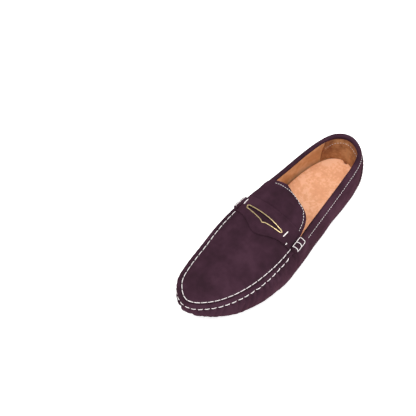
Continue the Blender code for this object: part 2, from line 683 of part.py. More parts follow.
def heel_pieces(leather_finish, rubber_finish, thread_finish):
    """The leather tab up the back of the heel and the rubber guard in its window."""

    def patch(name, span, halves, depths, finish):
        v, side = np.meshgrid(np.linspace(*span, 7), np.linspace(-1, 1, 9), indexing="ij")
        k = side * half_width(v, span, halves)
        return skin(name, layer(k, v, depths[0]), layer(k, v, depths[1]), finish)

    tab_halves, guard_halves = (TAB_HALF_TOP, TAB_HALF_FOOT), (GUARD_HALF_TOP, GUARD_HALF_FOOT)
    hole_halves = [half + HOLE_MARGIN for half in guard_halves]
    tab = patch("heel_tab", (TAB_TOP, TAB_FOOT), tab_halves, (-TAB_GAP - TAB, -TAB_GAP), leather_finish)
    hole = patch("guard_opening", (GUARD_TOP - 0.02, GUARD_FOOT + 0.02), hole_halves, (-8.0, 2.0), None)
    combine(tab, hole, "DIFFERENCE")
    heel_guard(rubber_finish, guard_halves)
    skin_depth = -TAB_GAP - TAB - CLEAR
    v = np.linspace(TAB_TOP + 0.03, TAB_FOOT - 0.06, 9)
    half = half_width(v, (TAB_TOP, TAB_FOOT), tab_halves) - 0.1
    ks = np.concatenate([half[::-1], np.linspace(half[0], -half[0], 7)[1:-1], -half])
    vs = np.concatenate([v[::-1], np.full(5, v[0]), v])
    tube("heel_tab_thread", layer(ks, vs, skin_depth - HEAVY_THREAD), HEAVY_THREAD, thread_finish)
    v = np.linspace(GUARD_TOP - 0.04, GUARD_FOOT + 0.035, 9)
    half = half_width(v, (v[0], v[-1]), guard_halves) + 0.14
    lid, sill = np.linspace(half[0], -half[0], 6)[1:-1], np.linspace(-half[-1], half[-1], 12)[1:-1]
    ks = np.concatenate([half[::-1], lid, -half, sill])
    vs = np.concatenate([v[::-1], np.full(4, v[0]), v, np.full(10, v[-1])])
    tube("guard_thread", layer(ks, vs, skin_depth - THREAD), THREAD, thread_finish, cyclic=True)


def footbed_pieces(board_finish, foam_finish, sock_finish):
    """The board, the foam on it and the sock that the foot rests on."""
    level = UPPER + CLEAR + 1 + CLEAR
    for name, thickness, out, finish in (
        ("insole_board", 1.6, -2.0, board_finish),
        ("footbed_foam", 3.0, -1.5, foam_finish),
        ("footbed_sock", 1.2, -1.0, sock_finish),
    ):
        ys = rows_between(feather(TOE, out)[1] + 1.0, feather(0, out)[1] - 1.0, 19)
        edges = np.stack([side_x(ys, False, out), side_x(ys, True, out)])
        pad = HEEL_PAD * np.clip((ys - 20) / 80, 0, 1)
        low = bottom_z(ys) + level + (pad if name == "footbed_sock" else 0)
        high = bottom_z(ys) + level + thickness + (0 if name == "insole_board" else pad)
        slab(name, ys, edges, low, high, finish)
        level += thickness + CLEAR


def threads(finish):
    """The long visible seams, each as one continuous thread lying on the leather."""
    lift = -CLEAR - THREAD
    seam = np.arange(6.75, 15.3, 0.25)
    tube("moc_seam_thread_outer", layer(seam, 0.14, lift), THREAD, finish)
    us = np.linspace(0.86, 0.1, 17)
    outer_line = apron(us, 0.5 + 0.5 * edge_share(us))
    inner_line = apron(us[::-1], 0.5 - 0.5 * edge_share(us[::-1]))
    across = np.linspace(1, -1, 9)[1:-1]
    toe_line = apron(0.1 - 0.045 * (1 - across**2), 0.5 + 0.5 * edge_share(0.1) * across)
    line = np.concatenate([outer_line, toe_line, inner_line]) + (0, 0, CLEAR + THREAD + 0.2)
    tube("moc_seam_thread_inner", line, THREAD, finish)
    collar_line = layer(np.linspace(-5.2, 5.2, 37), COLLAR_DROP - 0.03, -2 * CLEAR - 1.0 - THREAD)
    tube("collar_thread", collar_line, THREAD, finish)
    us = np.linspace(1.45, 1.9, 10)
    turn = np.linspace(1, -1, 9)[1:-1]
    end = apron(np.full(7, 1.93), 0.5 + 0.42 * turn)
    line = np.concatenate([apron(us, 0.94), end, apron(us[::-1], 0.06)]) + (0, 0, CLEAR + THREAD)
    tube("tongue_thread", line, THREAD, finish)
    on_top = UPPER + STRAP_RIDE + CLEAR + HEAVY_THREAD
    for name, w, rear in (("outer", 0.85, -14.0), ("inner", 0.06, -10.5)):
        ys = np.linspace(rear, rear - 8.6, 4)
        tube(f"strap_thread_{name}", apron_lift(0 * ys + w, ys, on_top), HEAVY_THREAD, finish)
    grip = np.linspace(-1.7, 1.7, 15)
    grip_depth = UPPER + COUNTER + 2 * LINING + 5 * CLEAR + THREAD
    tube("heel_grip_thread", layer(grip, 0.24 + 0.035 * grip**2, grip_depth), THREAD, finish)
    for name, ys, edges in windows(1.8, 1.8):
        plan = list(zip(edges[1], ys)) + list(zip(edges[0], ys))[::-1]
        line = [(x, y, bottom_z(y) - CLEAR - THREAD - 0.1) for x, y in plan]
        tube(f"{name}_window_thread", line, THREAD, finish, cyclic=True)


def edge_share(u):
    """How far across the apron the inner stitch row runs, closer to the middle where the toe narrows."""
    return 1 - 0.1 / (0.25 + np.minimum(u, 1.0) * 2.2)


clear_scene()
SHOE = collection("penny_loafer")
CUTTERS = collection("cutters")
NUBUCK = material("burgundy_nubuck", BURGUNDY, 0.85)
LINING_LEATHER = material("tan_lining_leather", TAN, 0.6)
SOCK_LEATHER = material("peach_pigskin", PEACH, 0.7)
TREAD_RUBBER = material("black_rubber", RUBBER, 0.55)
TRIM_METAL = material("antique_gold_metal", GOLD, 0.35, 1.0)
WAXED_THREAD = material("white_waxed_thread", WHITE, 0.6)
SOFT_FOAM = material("cream_foam", FOAM, 0.9)
FIBREBOARD = material("fibreboard", BOARD, 0.9)

wrap_upper(NUBUCK)
apron_pieces(NUBUCK, LINING_LEATHER)
strap_pieces(NUBUCK, TRIM_METAL)
rolls(NUBUCK, WAXED_THREAD)
collar(NUBUCK)
linings(LINING_LEATHER, FIBREBOARD, SOFT_FOAM)
heel_pieces(NUBUCK, TREAD_RUBBER, WAXED_THREAD)
footbed_pieces(FIBREBOARD, SOFT_FOAM, SOCK_LEATHER)
rubber_units(TREAD_RUBBER)
threads(WAXED_THREAD)
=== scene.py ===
"""Looks of a left penny loafer of the driving kind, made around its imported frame.

Shapes are worked out in design millimetres on one last: the toe points along -Y, the heel along +Y, the
outer side of the foot is +X and the ground is Z = 0. They are put into the frame's metres when a mesh is made.
"""

from __future__ import annotations

import logging
import math
from dataclasses import dataclass, field
from enum import Enum
from functools import cached_property
from typing import Any, Callable, Sequence

import bmesh
import bpy
import numpy as np
from mathutils import Matrix, Vector
from mathutils.bvhtree import BVHTree

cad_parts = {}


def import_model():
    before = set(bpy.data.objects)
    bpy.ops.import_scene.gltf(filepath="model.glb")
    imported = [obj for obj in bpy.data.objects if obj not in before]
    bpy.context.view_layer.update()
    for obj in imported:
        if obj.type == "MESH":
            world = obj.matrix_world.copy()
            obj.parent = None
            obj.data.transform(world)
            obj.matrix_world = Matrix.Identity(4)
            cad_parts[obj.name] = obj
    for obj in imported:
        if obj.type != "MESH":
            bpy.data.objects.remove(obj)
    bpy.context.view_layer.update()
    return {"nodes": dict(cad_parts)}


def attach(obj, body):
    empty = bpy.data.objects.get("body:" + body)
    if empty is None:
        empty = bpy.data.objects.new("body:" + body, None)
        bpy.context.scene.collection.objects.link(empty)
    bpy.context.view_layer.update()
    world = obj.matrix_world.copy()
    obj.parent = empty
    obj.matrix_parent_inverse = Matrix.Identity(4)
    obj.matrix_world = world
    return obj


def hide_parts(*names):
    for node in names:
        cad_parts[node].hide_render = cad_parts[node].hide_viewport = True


log = logging.getLogger("loafer")
MM = 0.001
Grid = np.ndarray
Row = tuple[Grid, Grid]
Pair = tuple[float, float]
Piece = bpy.types.Object
Finish = bpy.types.Material
Tree = bpy.types.NodeTree
Socket = bpy.types.NodeSocket


class Side(Enum):
    """The two sides of the foot."""

    OUTER = 1
    INNER = -1


# ---- the last
@dataclass(frozen=True)
class Last:
    """The foot form that every leather layer follows, in millimetres.

    A station number k runs round the shoe: 0 at the back of the heel, 11 at the toe's tip, and back up the
    inner side.
    """

    # y, x outer, x inner, flare to the widest line, its height,
    # inset of the top edge outside and inside, its height
    sections: tuple[tuple[float, ...], ...] = (
        (134.5, 0.0, 0.0, 6.5, 36.0, 3.5, 3.5, 69.0),
        (128.0, 18.0, -15.0, 6.5, 35.0, 5.0, 5.0, 68.5),
        (112.5, 27.0, -24.0, 7.0, 33.0, 7.5, 7.5, 67.0),
        (88.0, 31.0, -29.0, 7.5, 31.0, 8.5, 8.5, 64.0),
        (55.0, 34.0, -31.0, 8.0, 30.0, 8.0, 8.0, 61.0),
        (20.0, 38.5, -33.5, 8.0, 29.0, 8.0, 7.5, 60.0),
        (-15.0, 44.0, -37.5, 8.0, 27.0, 8.5, 8.0, 59.5),
        (-48.0, 45.5, -38.5, 7.5, 25.0, 9.0, 7.5, 54.0),
        (-80.0, 40.0, -35.5, 7.5, 24.0, 9.0, 7.0, 47.0),
        (-106.0, 29.0, -31.5, 8.0, 24.0, 8.5, 6.0, 42.0),
        (-125.0, 12.5, -24.5, 9.0, 24.5, 6.5, 5.5, 39.0),
        (-134.5, -7.0, -7.0, 10.0, 25.0, 4.5, 4.5, 37.5),
    )
    origin: tuple[float, float, float] = (3.5, 0.15, 0.0)
    base: float = 7.0
    toe_spring: Pair = (-70.0, 0.0024)
    heel_lift: Pair = (105.0, 0.002)
    lean: float = math.radians(62)
    seam_end: float = 6.0
    tongue_length: float = 36.5
    tongue_rise: float = 13.0
    tongue_taper: Pair = (11.0, 5.0)
    tongue_square: float = 9.0
    tongue_squarer_inside: float = 9.0
    tongue_skew: float = 7.0
    crown_at: tuple[float, ...] = (6.0, 7.0, 8.0, 9.0, 10.0, 11.0)
    crown: tuple[float, ...] = (11.0, 8.5, 6.5, 5.0, 3.0, 1.0)

    @property
    def stations(self) -> int:
        """Number of stations in the whole ring."""
        return 2 * (len(self.sections) - 1)

    @property
    def toe(self) -> int:
        """Station number of the toe's tip."""
        return self.stations // 2

    def column(self, outer: int, inner: int | None = None) -> Grid:
        """One column of the sections as a ring of stations.

        Args:
            outer: The column read on the outer side.
            inner: The column read on the inner side, or None for the same one.

        Returns:
            One value for each station.
        """
        inner = outer if inner is None else inner
        return np.array([r[outer] for r in self.sections] + [r[inner] for r in self.sections[-2:0:-1]])

    def along(self, values: Grid, k: Grid) -> Grid:
        """A closed Catmull-Rom curve through station values.

        Args:
            values: One value for each station.
            k: Station numbers, which may be fractions.

        Returns:
            The curve's value at each k.
        """
        k = np.asarray(k, float) % self.stations
        i = np.floor(k).astype(int)
        f = k - i
        p0, p1, p2, p3 = (values[(i + step) % self.stations] for step in (-1, 0, 1, 2))
        cubic = 3 * p1 - p0 - 3 * p2 + p3
        return 0.5 * (2 * p1 + (p2 - p0) * f + (2 * p0 - 5 * p1 + 4 * p2 - p3) * f**2 + cubic * f**3)

    def bottom(self, y: Grid) -> Grid:
        """Height of the leather bottom's under side at the length y.

        Args:
            y: Lengths along the shoe.

        Returns:
            One height for each length.
        """
        toe = np.minimum(np.asarray(y, float) - self.toe_spring[0], 0)
        heel = np.maximum(np.asarray(y, float) - self.heel_lift[0], 0)
        return self.base + self.toe_spring[1] * toe**2 + self.heel_lift[1] * heel**2

    def outward(self, k: Grid) -> Grid:
        """Unit normal of the bottom outline in plan at station k.

        Args:
            k: Station numbers.

        Returns:
            Unit vectors of (x, y).
        """
        d = 0.05
        tx = self.along(self.column(1, 2), k + d) - self.along(self.column(1, 2), k - d)
        ty = self.along(self.column(0), k + d) - self.along(self.column(0), k - d)
        return np.stack([-ty, tx], -1) / np.hypot(tx, ty)[..., None]

    def feather(self, k: Grid, out: float = 0.0) -> Grid:
        """The edge where the wall turns under the foot, moved outwards in plan by out.

        Args:
            k: Station numbers.
            out: Distance outwards in plan.

        Returns:
            Points of the edge.
        """
        plan = np.stack([self.along(self.column(1, 2), k), self.along(self.column(0), k)], -1)
        plan = plan + self.outward(k) * out
        return np.concatenate([plan, self.bottom(plan[..., 1])[..., None]], -1)

    def widest(self, k: Grid) -> Grid:
        """The wall's widest line at station k."""
        plan = self.feather(k)[..., :2] + self.outward(k) * self.along(self.column(3), k)[..., None]
        return np.concatenate([plan, self.along(self.column(4), k)[..., None]], -1)

    def rim(self, k: Grid) -> Grid:
        """The wall's top edge at station k: the moccasin seam in front, the topline behind."""
        plan = self.widest(k)[..., :2] - self.outward(k) * self.along(self.column(5, 6), k)[..., None]
        return np.concatenate([plan, self.along(self.column(7), k)[..., None]], -1)

    @cached_property
    def rim_table(self) -> Row:
        """Closely spaced stations with the top edge and its outward direction, for quick reading."""
        k = np.linspace(0, self.stations, 8801)
        return k, np.concatenate([self.rim(k), self.outward(k)], -1)

    def edge(self, k: Grid, inset: float) -> Grid:
        """The top edge moved inwards in plan.

        Args:
            k: Station numbers.
            inset: Distance inwards in plan.

        Returns:
            Points of the moved edge.
        """
        at, table = self.rim_table
        values = np.stack([np.interp(k, at, table[:, i]) for i in range(5)], -1)
        return np.concatenate([values[..., :2] - values[..., 3:] * inset, values[..., 2:3]], -1)

    def wall(self, k: Grid, v: Grid) -> Grid:
        """The outer face of the wall.

        Args:
            k: Station numbers.
            v: 0 at the top edge, 0.5 at the widest line, 1 at the feather edge.

        Returns:
            Points of the smooth wall.
        """
        k, v = np.broadcast_arrays(np.asarray(k, float), np.asarray(v, float))
        low, mid, top = self.feather(k), self.widest(k), self.rim(k)
        lean = self.lean * (1 - np.clip(v / 0.5, 0, 1))
        turn = np.clip((v - 0.5) / 0.5, 0, 1) * math.pi / 2
        inwards = ((1 - np.cos(lean)) / (1 - math.cos(self.lean)))[..., None]
        rise = (np.sin(lean) / math.sin(self.lean))[..., None]
        above = np.concatenate(
            [mid[..., :2] + (top - mid)[..., :2] * inwards, mid[..., 2:] + (top - mid)[..., 2:] * rise], -1
        )
        cos, sin = np.cos(turn)[..., None], np.sin(turn)[..., None]
        below = np.concatenate(
            [low[..., :2] + (mid - low)[..., :2] * cos, low[..., 2:] + (mid - low)[..., 2:] * (1 - sin)], -1
        )
        return np.where((v <= 0.5)[..., None], above, below)

    def wall_normal(self, k: Grid, v: Grid) -> Grid:
        """Outward unit normal of the wall.

        Args:
            k: Station numbers.
            v: Wall parameters, 0 at the top edge and 1 at the feather edge.

        Returns:
            Unit vectors that point out of the shoe.
        """
        k, v = np.broadcast_arrays(np.asarray(k, float), np.asarray(v, float))
        d = 0.02
        round_ = self.wall(k + d, v) - self.wall(k - d, v)
        down = self.wall(k, np.minimum(v + d, 1)) - self.wall(k, np.maximum(v - d, 0))
        return unit(np.cross(round_, down))

    def layer(self, k: Grid, v: Grid, depth: Grid) -> Grid:
        """The wall moved inwards by depth along its normal."""
        k, v = np.broadcast_arrays(np.asarray(k, float), np.asarray(v, float))
        return self.wall(k, v) - self.wall_normal(k, v) * np.asarray(depth)[..., None]

    def v_at(self, k: Grid, s: Grid) -> Grid:
        """Wall parameter at a distance below the top edge.

        Args:
            k: Station numbers, one for each row of s.
            s: Distances down the wall in millimetres, one row for each k.

        Returns:
            The parameter v for each distance.
        """
        fine = np.linspace(0, 1, 81)
        lines = self.wall(np.asarray(k)[:, None], fine[None, :])
        gone = np.concatenate(
            [np.zeros((len(lines), 1)), np.cumsum(np.linalg.norm(np.diff(lines, axis=1), axis=2), 1)], 1
        )
        return np.stack([np.interp(row, length, fine) for row, length in zip(s, gone)])

    def apron(self, u: Grid, w: Grid, inset: float = 0.4) -> Grid:
        """The smooth top face of the apron and tongue.

        Args:
            u: 0 at the toe, 1 at the seam's end, 2 at the tongue's end.
            w: 0 on the inner side of the foot, 1 on the outer side.
            inset: Distance of the edge inside the wall's top edge.

        Returns:
            Points of the surface.
        """
        u, w = np.broadcast_arrays(np.asarray(u, float), np.asarray(w, float))
        k = self.toe + (self.seam_end - self.toe) * np.clip(u, 0, 1)
        outer, inner = self.edge(k, inset), self.edge(self.stations - k, inset)
        front = inner + (outer - inner) * w[..., None]
        front[..., 2] += np.interp(k, self.crown_at, self.crown) * (1 - (2 * w - 1) ** 2)
        s = np.clip(u - 1, 0, 1)
        right, left = (self.edge(np.array(at), inset) for at in (self.seam_end, self.stations - self.seam_end))
        x_right, x_left = right[0] - self.tongue_taper[0] * s, left[0] + self.tongue_taper[1] * s
        across = (2 * w - 1) * (1 - s ** (self.tongue_square + self.tongue_squarer_inside * (1 - w))) ** 0.5
        x = (x_right + x_left) / 2 + (x_right - x_left) / 2 * across
        y = left[1] + (right[1] - left[1]) * w + (self.tongue_length + self.tongue_skew * (1 - w)) * s
        z = left[2] + (right[2] - left[2]) * w + self.tongue_rise * s**1.1
        z = z + self.crown[0] * (1 - across**2) * (1 - 0.15 * s)
        return np.where((u > 1)[..., None], np.stack([x, y, z], -1), front)

    def apron_at(self, w: Grid, y: Grid) -> Grid:
        """The apron's point on the line w at the length y, found by halving.

        Args:
            w: 0 on the inner side, 1 on the outer side.
            y: Lengths along the shoe.

        Returns:
            Points of the apron or tongue.
        """
        w, y = np.broadcast_arrays(np.asarray(w, float), np.asarray(y, float))
        low, high = np.zeros(w.shape), np.full(w.shape, 1.9)
        for _ in range(18):
            middle = (low + high) / 2
            short = self.apron(middle, w)[..., 1] < y
            low, high = np.where(short, middle, low), np.where(short, high, middle)
        return self.apron(low, w)

    def apron_lift(self, w: Grid, y: Grid, lift: Grid) -> Grid:
        """The apron's point raised along the surface's normal by lift.

        Args:
            w: 0 on the inner side, 1 on the outer side.
            y: Lengths along the shoe.
            lift: Heights above the surface.

        Returns:
            The raised points.
        """
        along = self.apron_at(w, y + 0.5) - self.apron_at(w, y - 0.5)
        across = self.apron_at(w + 0.01, y) - self.apron_at(w - 0.01, y)
        return self.apron_at(w, y) + unit(np.cross(across, along)) * np.asarray(lift)[..., None]

    def side_x(self, y: Grid, side: Side, out: float) -> Grid:
        """x of the feather edge, moved outwards by out, on one side at the length y.

        Args:
            y: Lengths along the shoe.
            side: Which side of the foot.
            out: Distance outwards.

        Returns:
            One x for each length.
        """
        k = np.linspace(0 if side is Side.OUTER else self.stations, self.toe, 600)
        edge = self.feather(k, out)
        return np.interp(-np.asarray(y, float), -edge[:, 1], edge[:, 0])


def unit(vectors: Grid) -> Grid:
    """Vectors of length one."""
    return vectors / np.maximum(np.linalg.norm(vectors, axis=-1, keepdims=True), 1e-9)


def grid_of(rows: Grid, columns: Grid) -> list[Grid]:
    """Two grids that repeat the values of the rows and of the columns."""
    return np.meshgrid(rows, columns, indexing="ij")


def bell(x: Grid, width: float) -> Grid:
    """A smooth bump, 1 at x = 0 and near 0 beyond two widths."""
    return np.exp(-((x / width) ** 2))


def ease(low: float, high: float, x: Grid) -> Grid:
    """A smooth step from 0 at low to 1 at high."""
    t = np.clip((x - low) / (high - low), 0, 1)
    return t * t * (3 - 2 * t)


def rounded(x: Grid) -> Grid:
    """A quarter circle's height, rising from 0 at x = 0 to 1 at x = 1."""
    return np.sqrt(np.clip(1 - (1 - np.clip(x, 0, 1)) ** 2, 0, 1))


def lengths(points: Grid) -> Grid:
    """Distance travelled along a polyline at each of its points."""
    return np.concatenate([[0], np.cumsum(np.linalg.norm(np.diff(points, axis=0), axis=1))])


# ---- meshes
def linked(name: str, data: bpy.types.ID) -> Piece:
    """A new object of some data, linked to the scene.

    Args:
        name: Name of the object.
        data: Its mesh, camera or light.

    Returns:
        The new object.
    """
    obj = bpy.data.objects.new(name, data)
    bpy.context.scene.collection.objects.link(obj)
    return obj


def make_mesh(name: str, points: Grid, faces: Sequence[Any], last: Last) -> Piece:
    """Makes an object from design millimetres and turns its faces outwards.

    Args:
        name: Name of the piece.
        points: Vertices in design millimetres.
        faces: Arrays of quads or triangles, and tuples for single faces.
        last: Gives the frame's origin.

    Returns:
        The new object, linked to the scene.
    """
    flat: list[tuple[int, ...]] = []
    for face in faces:
        flat += [tuple(f) for f in face.tolist()] if isinstance(face, np.ndarray) else [tuple(face)]
    mesh = bpy.data.meshes.new(name)
    mesh.from_pydata(((np.asarray(points) - last.origin) * MM).tolist(), [], flat)
    work = bmesh.new()
    work.from_mesh(mesh)
    bmesh.ops.remove_doubles(work, verts=work.verts, dist=0.004 * MM)
    bmesh.ops.dissolve_degenerate(work, edges=work.edges, dist=0.002 * MM)
    bmesh.ops.recalc_face_normals(work, faces=work.faces)
    work.to_mesh(mesh)
    work.free()
    return linked(name, mesh)


def grid_quads(rows: int, columns: int, ring: bool = False, start: int = 0) -> Grid:
    """Quads of a grid of points numbered row by row.

    Args:
        rows: Number of rows.
        columns: Number of points in a row.
        ring: Whether the last row joins the first.
        start: Number of the first point.

    Returns:
        An array of quads.
    """
    i = np.arange(rows if ring else rows - 1)[:, None]
    j = np.arange(columns - 1)[None, :]
    a, b = i * columns + j, ((i + 1) % rows) * columns + j
    return start + np.stack([a, b, b + 1, a + 1], -1).reshape(-1, 4)


def make_skin(name: str, outer: Grid, inner: Grid, last: Last, ring: bool = False) -> Piece:
    """A closed sheet of leather or rubber between an outer and an inner grid of points.

    Args:
        name: Name of the piece.
        outer: Points of the outer face, rows by columns by three.
        inner: Points of the inner face, in the same order.
        last: Gives the frame's origin.
        ring: Whether the last row joins the first.

    Returns:
        The new object.
    """
    rows, columns = outer.shape[:2]
    count = rows * columns
    quads = grid_quads(rows, columns, ring)
    faces = [quads, quads + count]
    lines = [np.arange(rows + ring) % rows * columns + j for j in (0, columns - 1)]
    if not ring:
        lines += [np.arange(columns), (rows - 1) * columns + np.arange(columns)]
    for line in lines:
        faces.append(np.stack([line[:-1], line[1:], line[1:] + count, line[:-1] + count], -1))
    return make_mesh(name, np.concatenate([outer.reshape(-1, 3), inner.reshape(-1, 3)]), faces, last)


def make_loft(name: str, sections: Grid, last: Last, loop: bool = False) -> Piece:
    """A closed solid through closed sections of equal point count.

    Args:
        name: Name of the piece.
        sections: Points, sections by points by three.
        last: Gives the frame's origin.
        loop: Whether the last section joins the first; otherwise the ends are filled by fans.

    Returns:
        The new object.
    """
    rows, columns = sections.shape[:2]
    i, j = np.arange(rows if loop else rows - 1)[:, None], np.arange(columns)[None, :]
    a, b = i * columns + j, i * columns + (j + 1) % columns
    c, d = (i + 1) % rows * columns + (j + 1) % columns, (i + 1) % rows * columns + j
    faces = [np.stack([a, b, c, d], -1).reshape(-1, 4)]
    points = sections.reshape(-1, 3)
    if not loop:
        for start, centre in ((0, sections[0]), ((rows - 1) * columns, sections[-1])):
            turn = np.arange(columns)
            faces.append(np.stack([turn + start, (turn + 1) % columns + start, np.full(columns, len(points))], -1))
            points = np.concatenate([points, centre.mean(0)[None]])
    return make_mesh(name, points, faces, last)


def make_tube(name: str, path: Grid, radius: Grid | float, last: Last, sides: int = 10, flat: float = 1.0) -> Piece:
    """A round-ended tube along a path.

    Args:
        name: Name of the piece.
        path: Points in design millimetres.
        radius: One radius or one for each point.
        last: Gives the frame's origin.
        sides: Number of sides.
        flat: Height of the cross-section as a share of its width.

    Returns:
        The new object.
    """
    path = np.asarray(path, float)
    tangent = unit(np.gradient(path, axis=0))
    side = unit(np.cross(tangent, (0.0, 0.0, 1.0)))
    up = np.cross(side, tangent)
    turn = np.linspace(0, 2 * math.pi, sides, endpoint=False)
    r = np.broadcast_to(np.asarray(radius, float), (len(path),))[:, None, None]
    ring = side[:, None] * np.cos(turn)[None, :, None] + up[:, None] * flat * np.sin(turn)[None, :, None]
    return make_loft(name, path[:, None] + ring * r, last)


def cut(obj: Piece, cutter: Piece) -> Piece:
    """Takes one solid out of another and leaves a plain mesh.

    Args:
        obj: The solid to cut.
        cutter: The solid taken away, which is removed.

    Returns:
        The cut object.
    """
    step = obj.modifiers.new("cut", "BOOLEAN")
    step.operation = "DIFFERENCE"
    step.solver = "EXACT"
    step.object = cutter
    return applied(obj, [cutter])


def applied(obj: Piece, spent: Sequence[Piece] = ()) -> Piece:
    """Turns an object's modifiers into plain mesh and removes helpers.

    Args:
        obj: The object.
        spent: Helper objects that are no longer needed.

    Returns:
        The same object.
    """
    graph = bpy.context.evaluated_depsgraph_get()
    plain = bpy.data.meshes.new_from_object(obj.evaluated_get(graph), depsgraph=graph)
    obj.modifiers.clear()
    obj.data = plain
    for helper in spent:
        bpy.data.objects.remove(helper)
    return obj


def join(name: str, objects: Sequence[Piece]) -> Piece:
    """Joins several mesh objects of one finish into one piece.

    Args:
        name: Name of the joined piece.
        objects: The pieces, which are removed.

    Returns:
        The joined piece.
    """
    work = bmesh.new()
    for obj in objects:
        work.from_mesh(obj.data)
    mesh = bpy.data.meshes.new(name)
    work.to_mesh(mesh)
    work.free()
    for obj in objects:
        bpy.data.objects.remove(obj)
    return linked(name, mesh)


def dress(obj: Piece, finish: Finish, nodes: Sequence[str], sharp: float = 35.0) -> Piece:
    """Gives a piece its finish and places it in the frame.

    Args:
        obj: The piece.
        finish: Its material.
        nodes: CAD nodes that it stands for.
        sharp: Angle in degrees past which an edge stays sharp.

    Returns:
        The piece.
    """
    obj.data.materials.clear()
    obj.data.materials.append(finish)
    obj.data.shade_smooth()
    obj.data.set_sharp_from_angle(angle=math.radians(sharp))
    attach(obj, "root")
    if nodes:
        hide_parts(*nodes)
    log.info("%s: %d faces", obj.name, len(obj.data.polygons))
    return obj


# ---- finishes
def linear(hex_colour: str) -> tuple[float, float, float, float]:
    """Linear colour of an sRGB hex value.

    Args:
        hex_colour: A colour such as #a0b0c0.

    Returns:
        Red, green, blue and an alpha of 1.
    """
    parts = [int(hex_colour[i : i + 2], 16) / 255 for i in (1, 3, 5)]
    r, g, b = (c / 12.92 if c <= 0.04045 else ((c + 0.055) / 1.055) ** 2.4 for c in parts)
    return (r, g, b, 1.0)


def add(
    tree: Tree, kind: str, settings: dict[str, Any] | None = None, inputs: dict[Any, Any] | None = None
) -> bpy.types.Node:
    """Adds a node with its settings and links.

    Args:
        tree: The node tree.
        kind: The node's type.
        settings: Properties to set on it.
        inputs: Socket name or number to a value, or to an output socket to link.

    Returns:
        The node.
    """
    node = tree.nodes.new(kind)
    for key, value in (settings or {}).items():
        setattr(node, key, value)
    for key, value in (inputs or {}).items():
        if isinstance(value, bpy.types.NodeSocket):
            tree.links.new(value, node.inputs[key])
        else:
            node.inputs[key].default_value = value
    return node


def maths(tree: Tree, operation: str, first: Any, second: Any) -> Socket:
    """Result of one arithmetic node on sockets or numbers."""
    return add(tree, "ShaderNodeMath", {"operation": operation}, {0: first, 1: second}).outputs[0]


def ramp(tree: Tree, factor: Socket, stops: Sequence[tuple[float, str]]) -> Socket:
    """A colour ramp's output through hex colours at the given positions.

    Args:
        tree: The node tree.
        factor: Socket that drives the ramp.
        stops: Positions and hex colours.

    Returns:
        The ramp's colour socket.
    """
    node = add(tree, "ShaderNodeValToRGB", None, {"Fac": factor})
    elements = node.color_ramp.elements
    while len(elements) < len(stops):
        elements.new(0.5)
    for element, (at, colour) in zip(elements, stops):
        element.position = at
        element.color = linear(colour)
    return node.outputs["Color"]


def new_finish(name: str) -> tuple[Finish, Tree, bpy.types.Node, Socket]:
    """Starts a material.

    Args:
        name: Name of the real material.

    Returns:
        The material, its tree, its shader and its object coordinates.
    """
    made = bpy.data.materials.new(name)
    made.use_nodes = True
    tree = made.node_tree
    return made, tree, tree.nodes["Principled BSDF"], add(tree, "ShaderNodeTexCoord").outputs["Object"]


@dataclass(frozen=True)
class Leather:
    """A leather whose colour drifts in soft clouds and whose grain stands out a little.

    Nubuck is full-grain hide buffed to a short nap: matt, cloudy where the nap lies differently, with a
    faint sheen.
    Smooth lining hide keeps its grain, so it has pores and a satin gloss.
    """

    name: str
    dark: str
    middle: str
    light: str
    roughness: float
    cloud_mm: float = 26.0
    grain_mm: float = 0.9
    grain_depth_mm: float = 0.05
    nap: float = 0.12
    sheen: float = 0.0
    sheen_tint: str = "#ffffff"
    specular: float = 0.3
    ior: float = 1.45
    patchy: float = 0.35

    def build(self) -> Finish:
        """Makes the material.

        Returns:
            The new material.
        """
        made, tree, shader, place = new_finish(self.name)

        def noise(size_mm: float, detail: float, rough: float = 0.5) -> Socket:
            """Soft noise of a size in millimetres."""
            values = {"Vector": place, "Scale": 1000 / size_mm, "Detail": detail, "Roughness": rough}
            return add(tree, "ShaderNodeTexNoise", None, values).outputs["Fac"]

        clouds = noise(self.cloud_mm, 3.0, 0.6)
        patches = noise(self.cloud_mm / 5, 2.0)
        grain = noise(self.grain_mm, 4.0, 0.7)
        mixed = add(tree, "ShaderNodeMath", {"operation": "MULTIPLY_ADD"}, {0: patches, 1: self.patchy, 2: clouds})
        mixed = add(
            tree, "ShaderNodeMath", {"operation": "MULTIPLY_ADD"}, {0: grain, 1: self.nap, 2: mixed.outputs[0]}
        )
        centre, spread = 0.5 + 0.5 * (self.patchy + self.nap), 0.15
        stops = ((centre - spread, self.dark), (centre, self.middle), (centre + spread, self.light))
        tree.links.new(ramp(tree, mixed.outputs[0], stops), shader.inputs["Base Color"])
        bump = add(
            tree, "ShaderNodeBump", None, {"Height": grain, "Strength": 0.6, "Distance": self.grain_depth_mm * MM}
        )
        soft = add(
            tree, "ShaderNodeBump", None,
            {"Height": patches, "Strength": 0.5, "Distance": 0.25 * MM, "Normal": bump.outputs[0]},
        )
        tree.links.new(soft.outputs[0], shader.inputs["Normal"])
        shader.inputs["Roughness"].default_value = self.roughness
        shader.inputs["Specular IOR Level"].default_value = self.specular
        shader.inputs["IOR"].default_value = self.ior
        shader.inputs["Sheen Weight"].default_value = self.sheen
        shader.inputs["Sheen Roughness"].default_value = 0.45
        shader.inputs["Sheen Tint"].default_value = linear(self.sheen_tint)
        return made


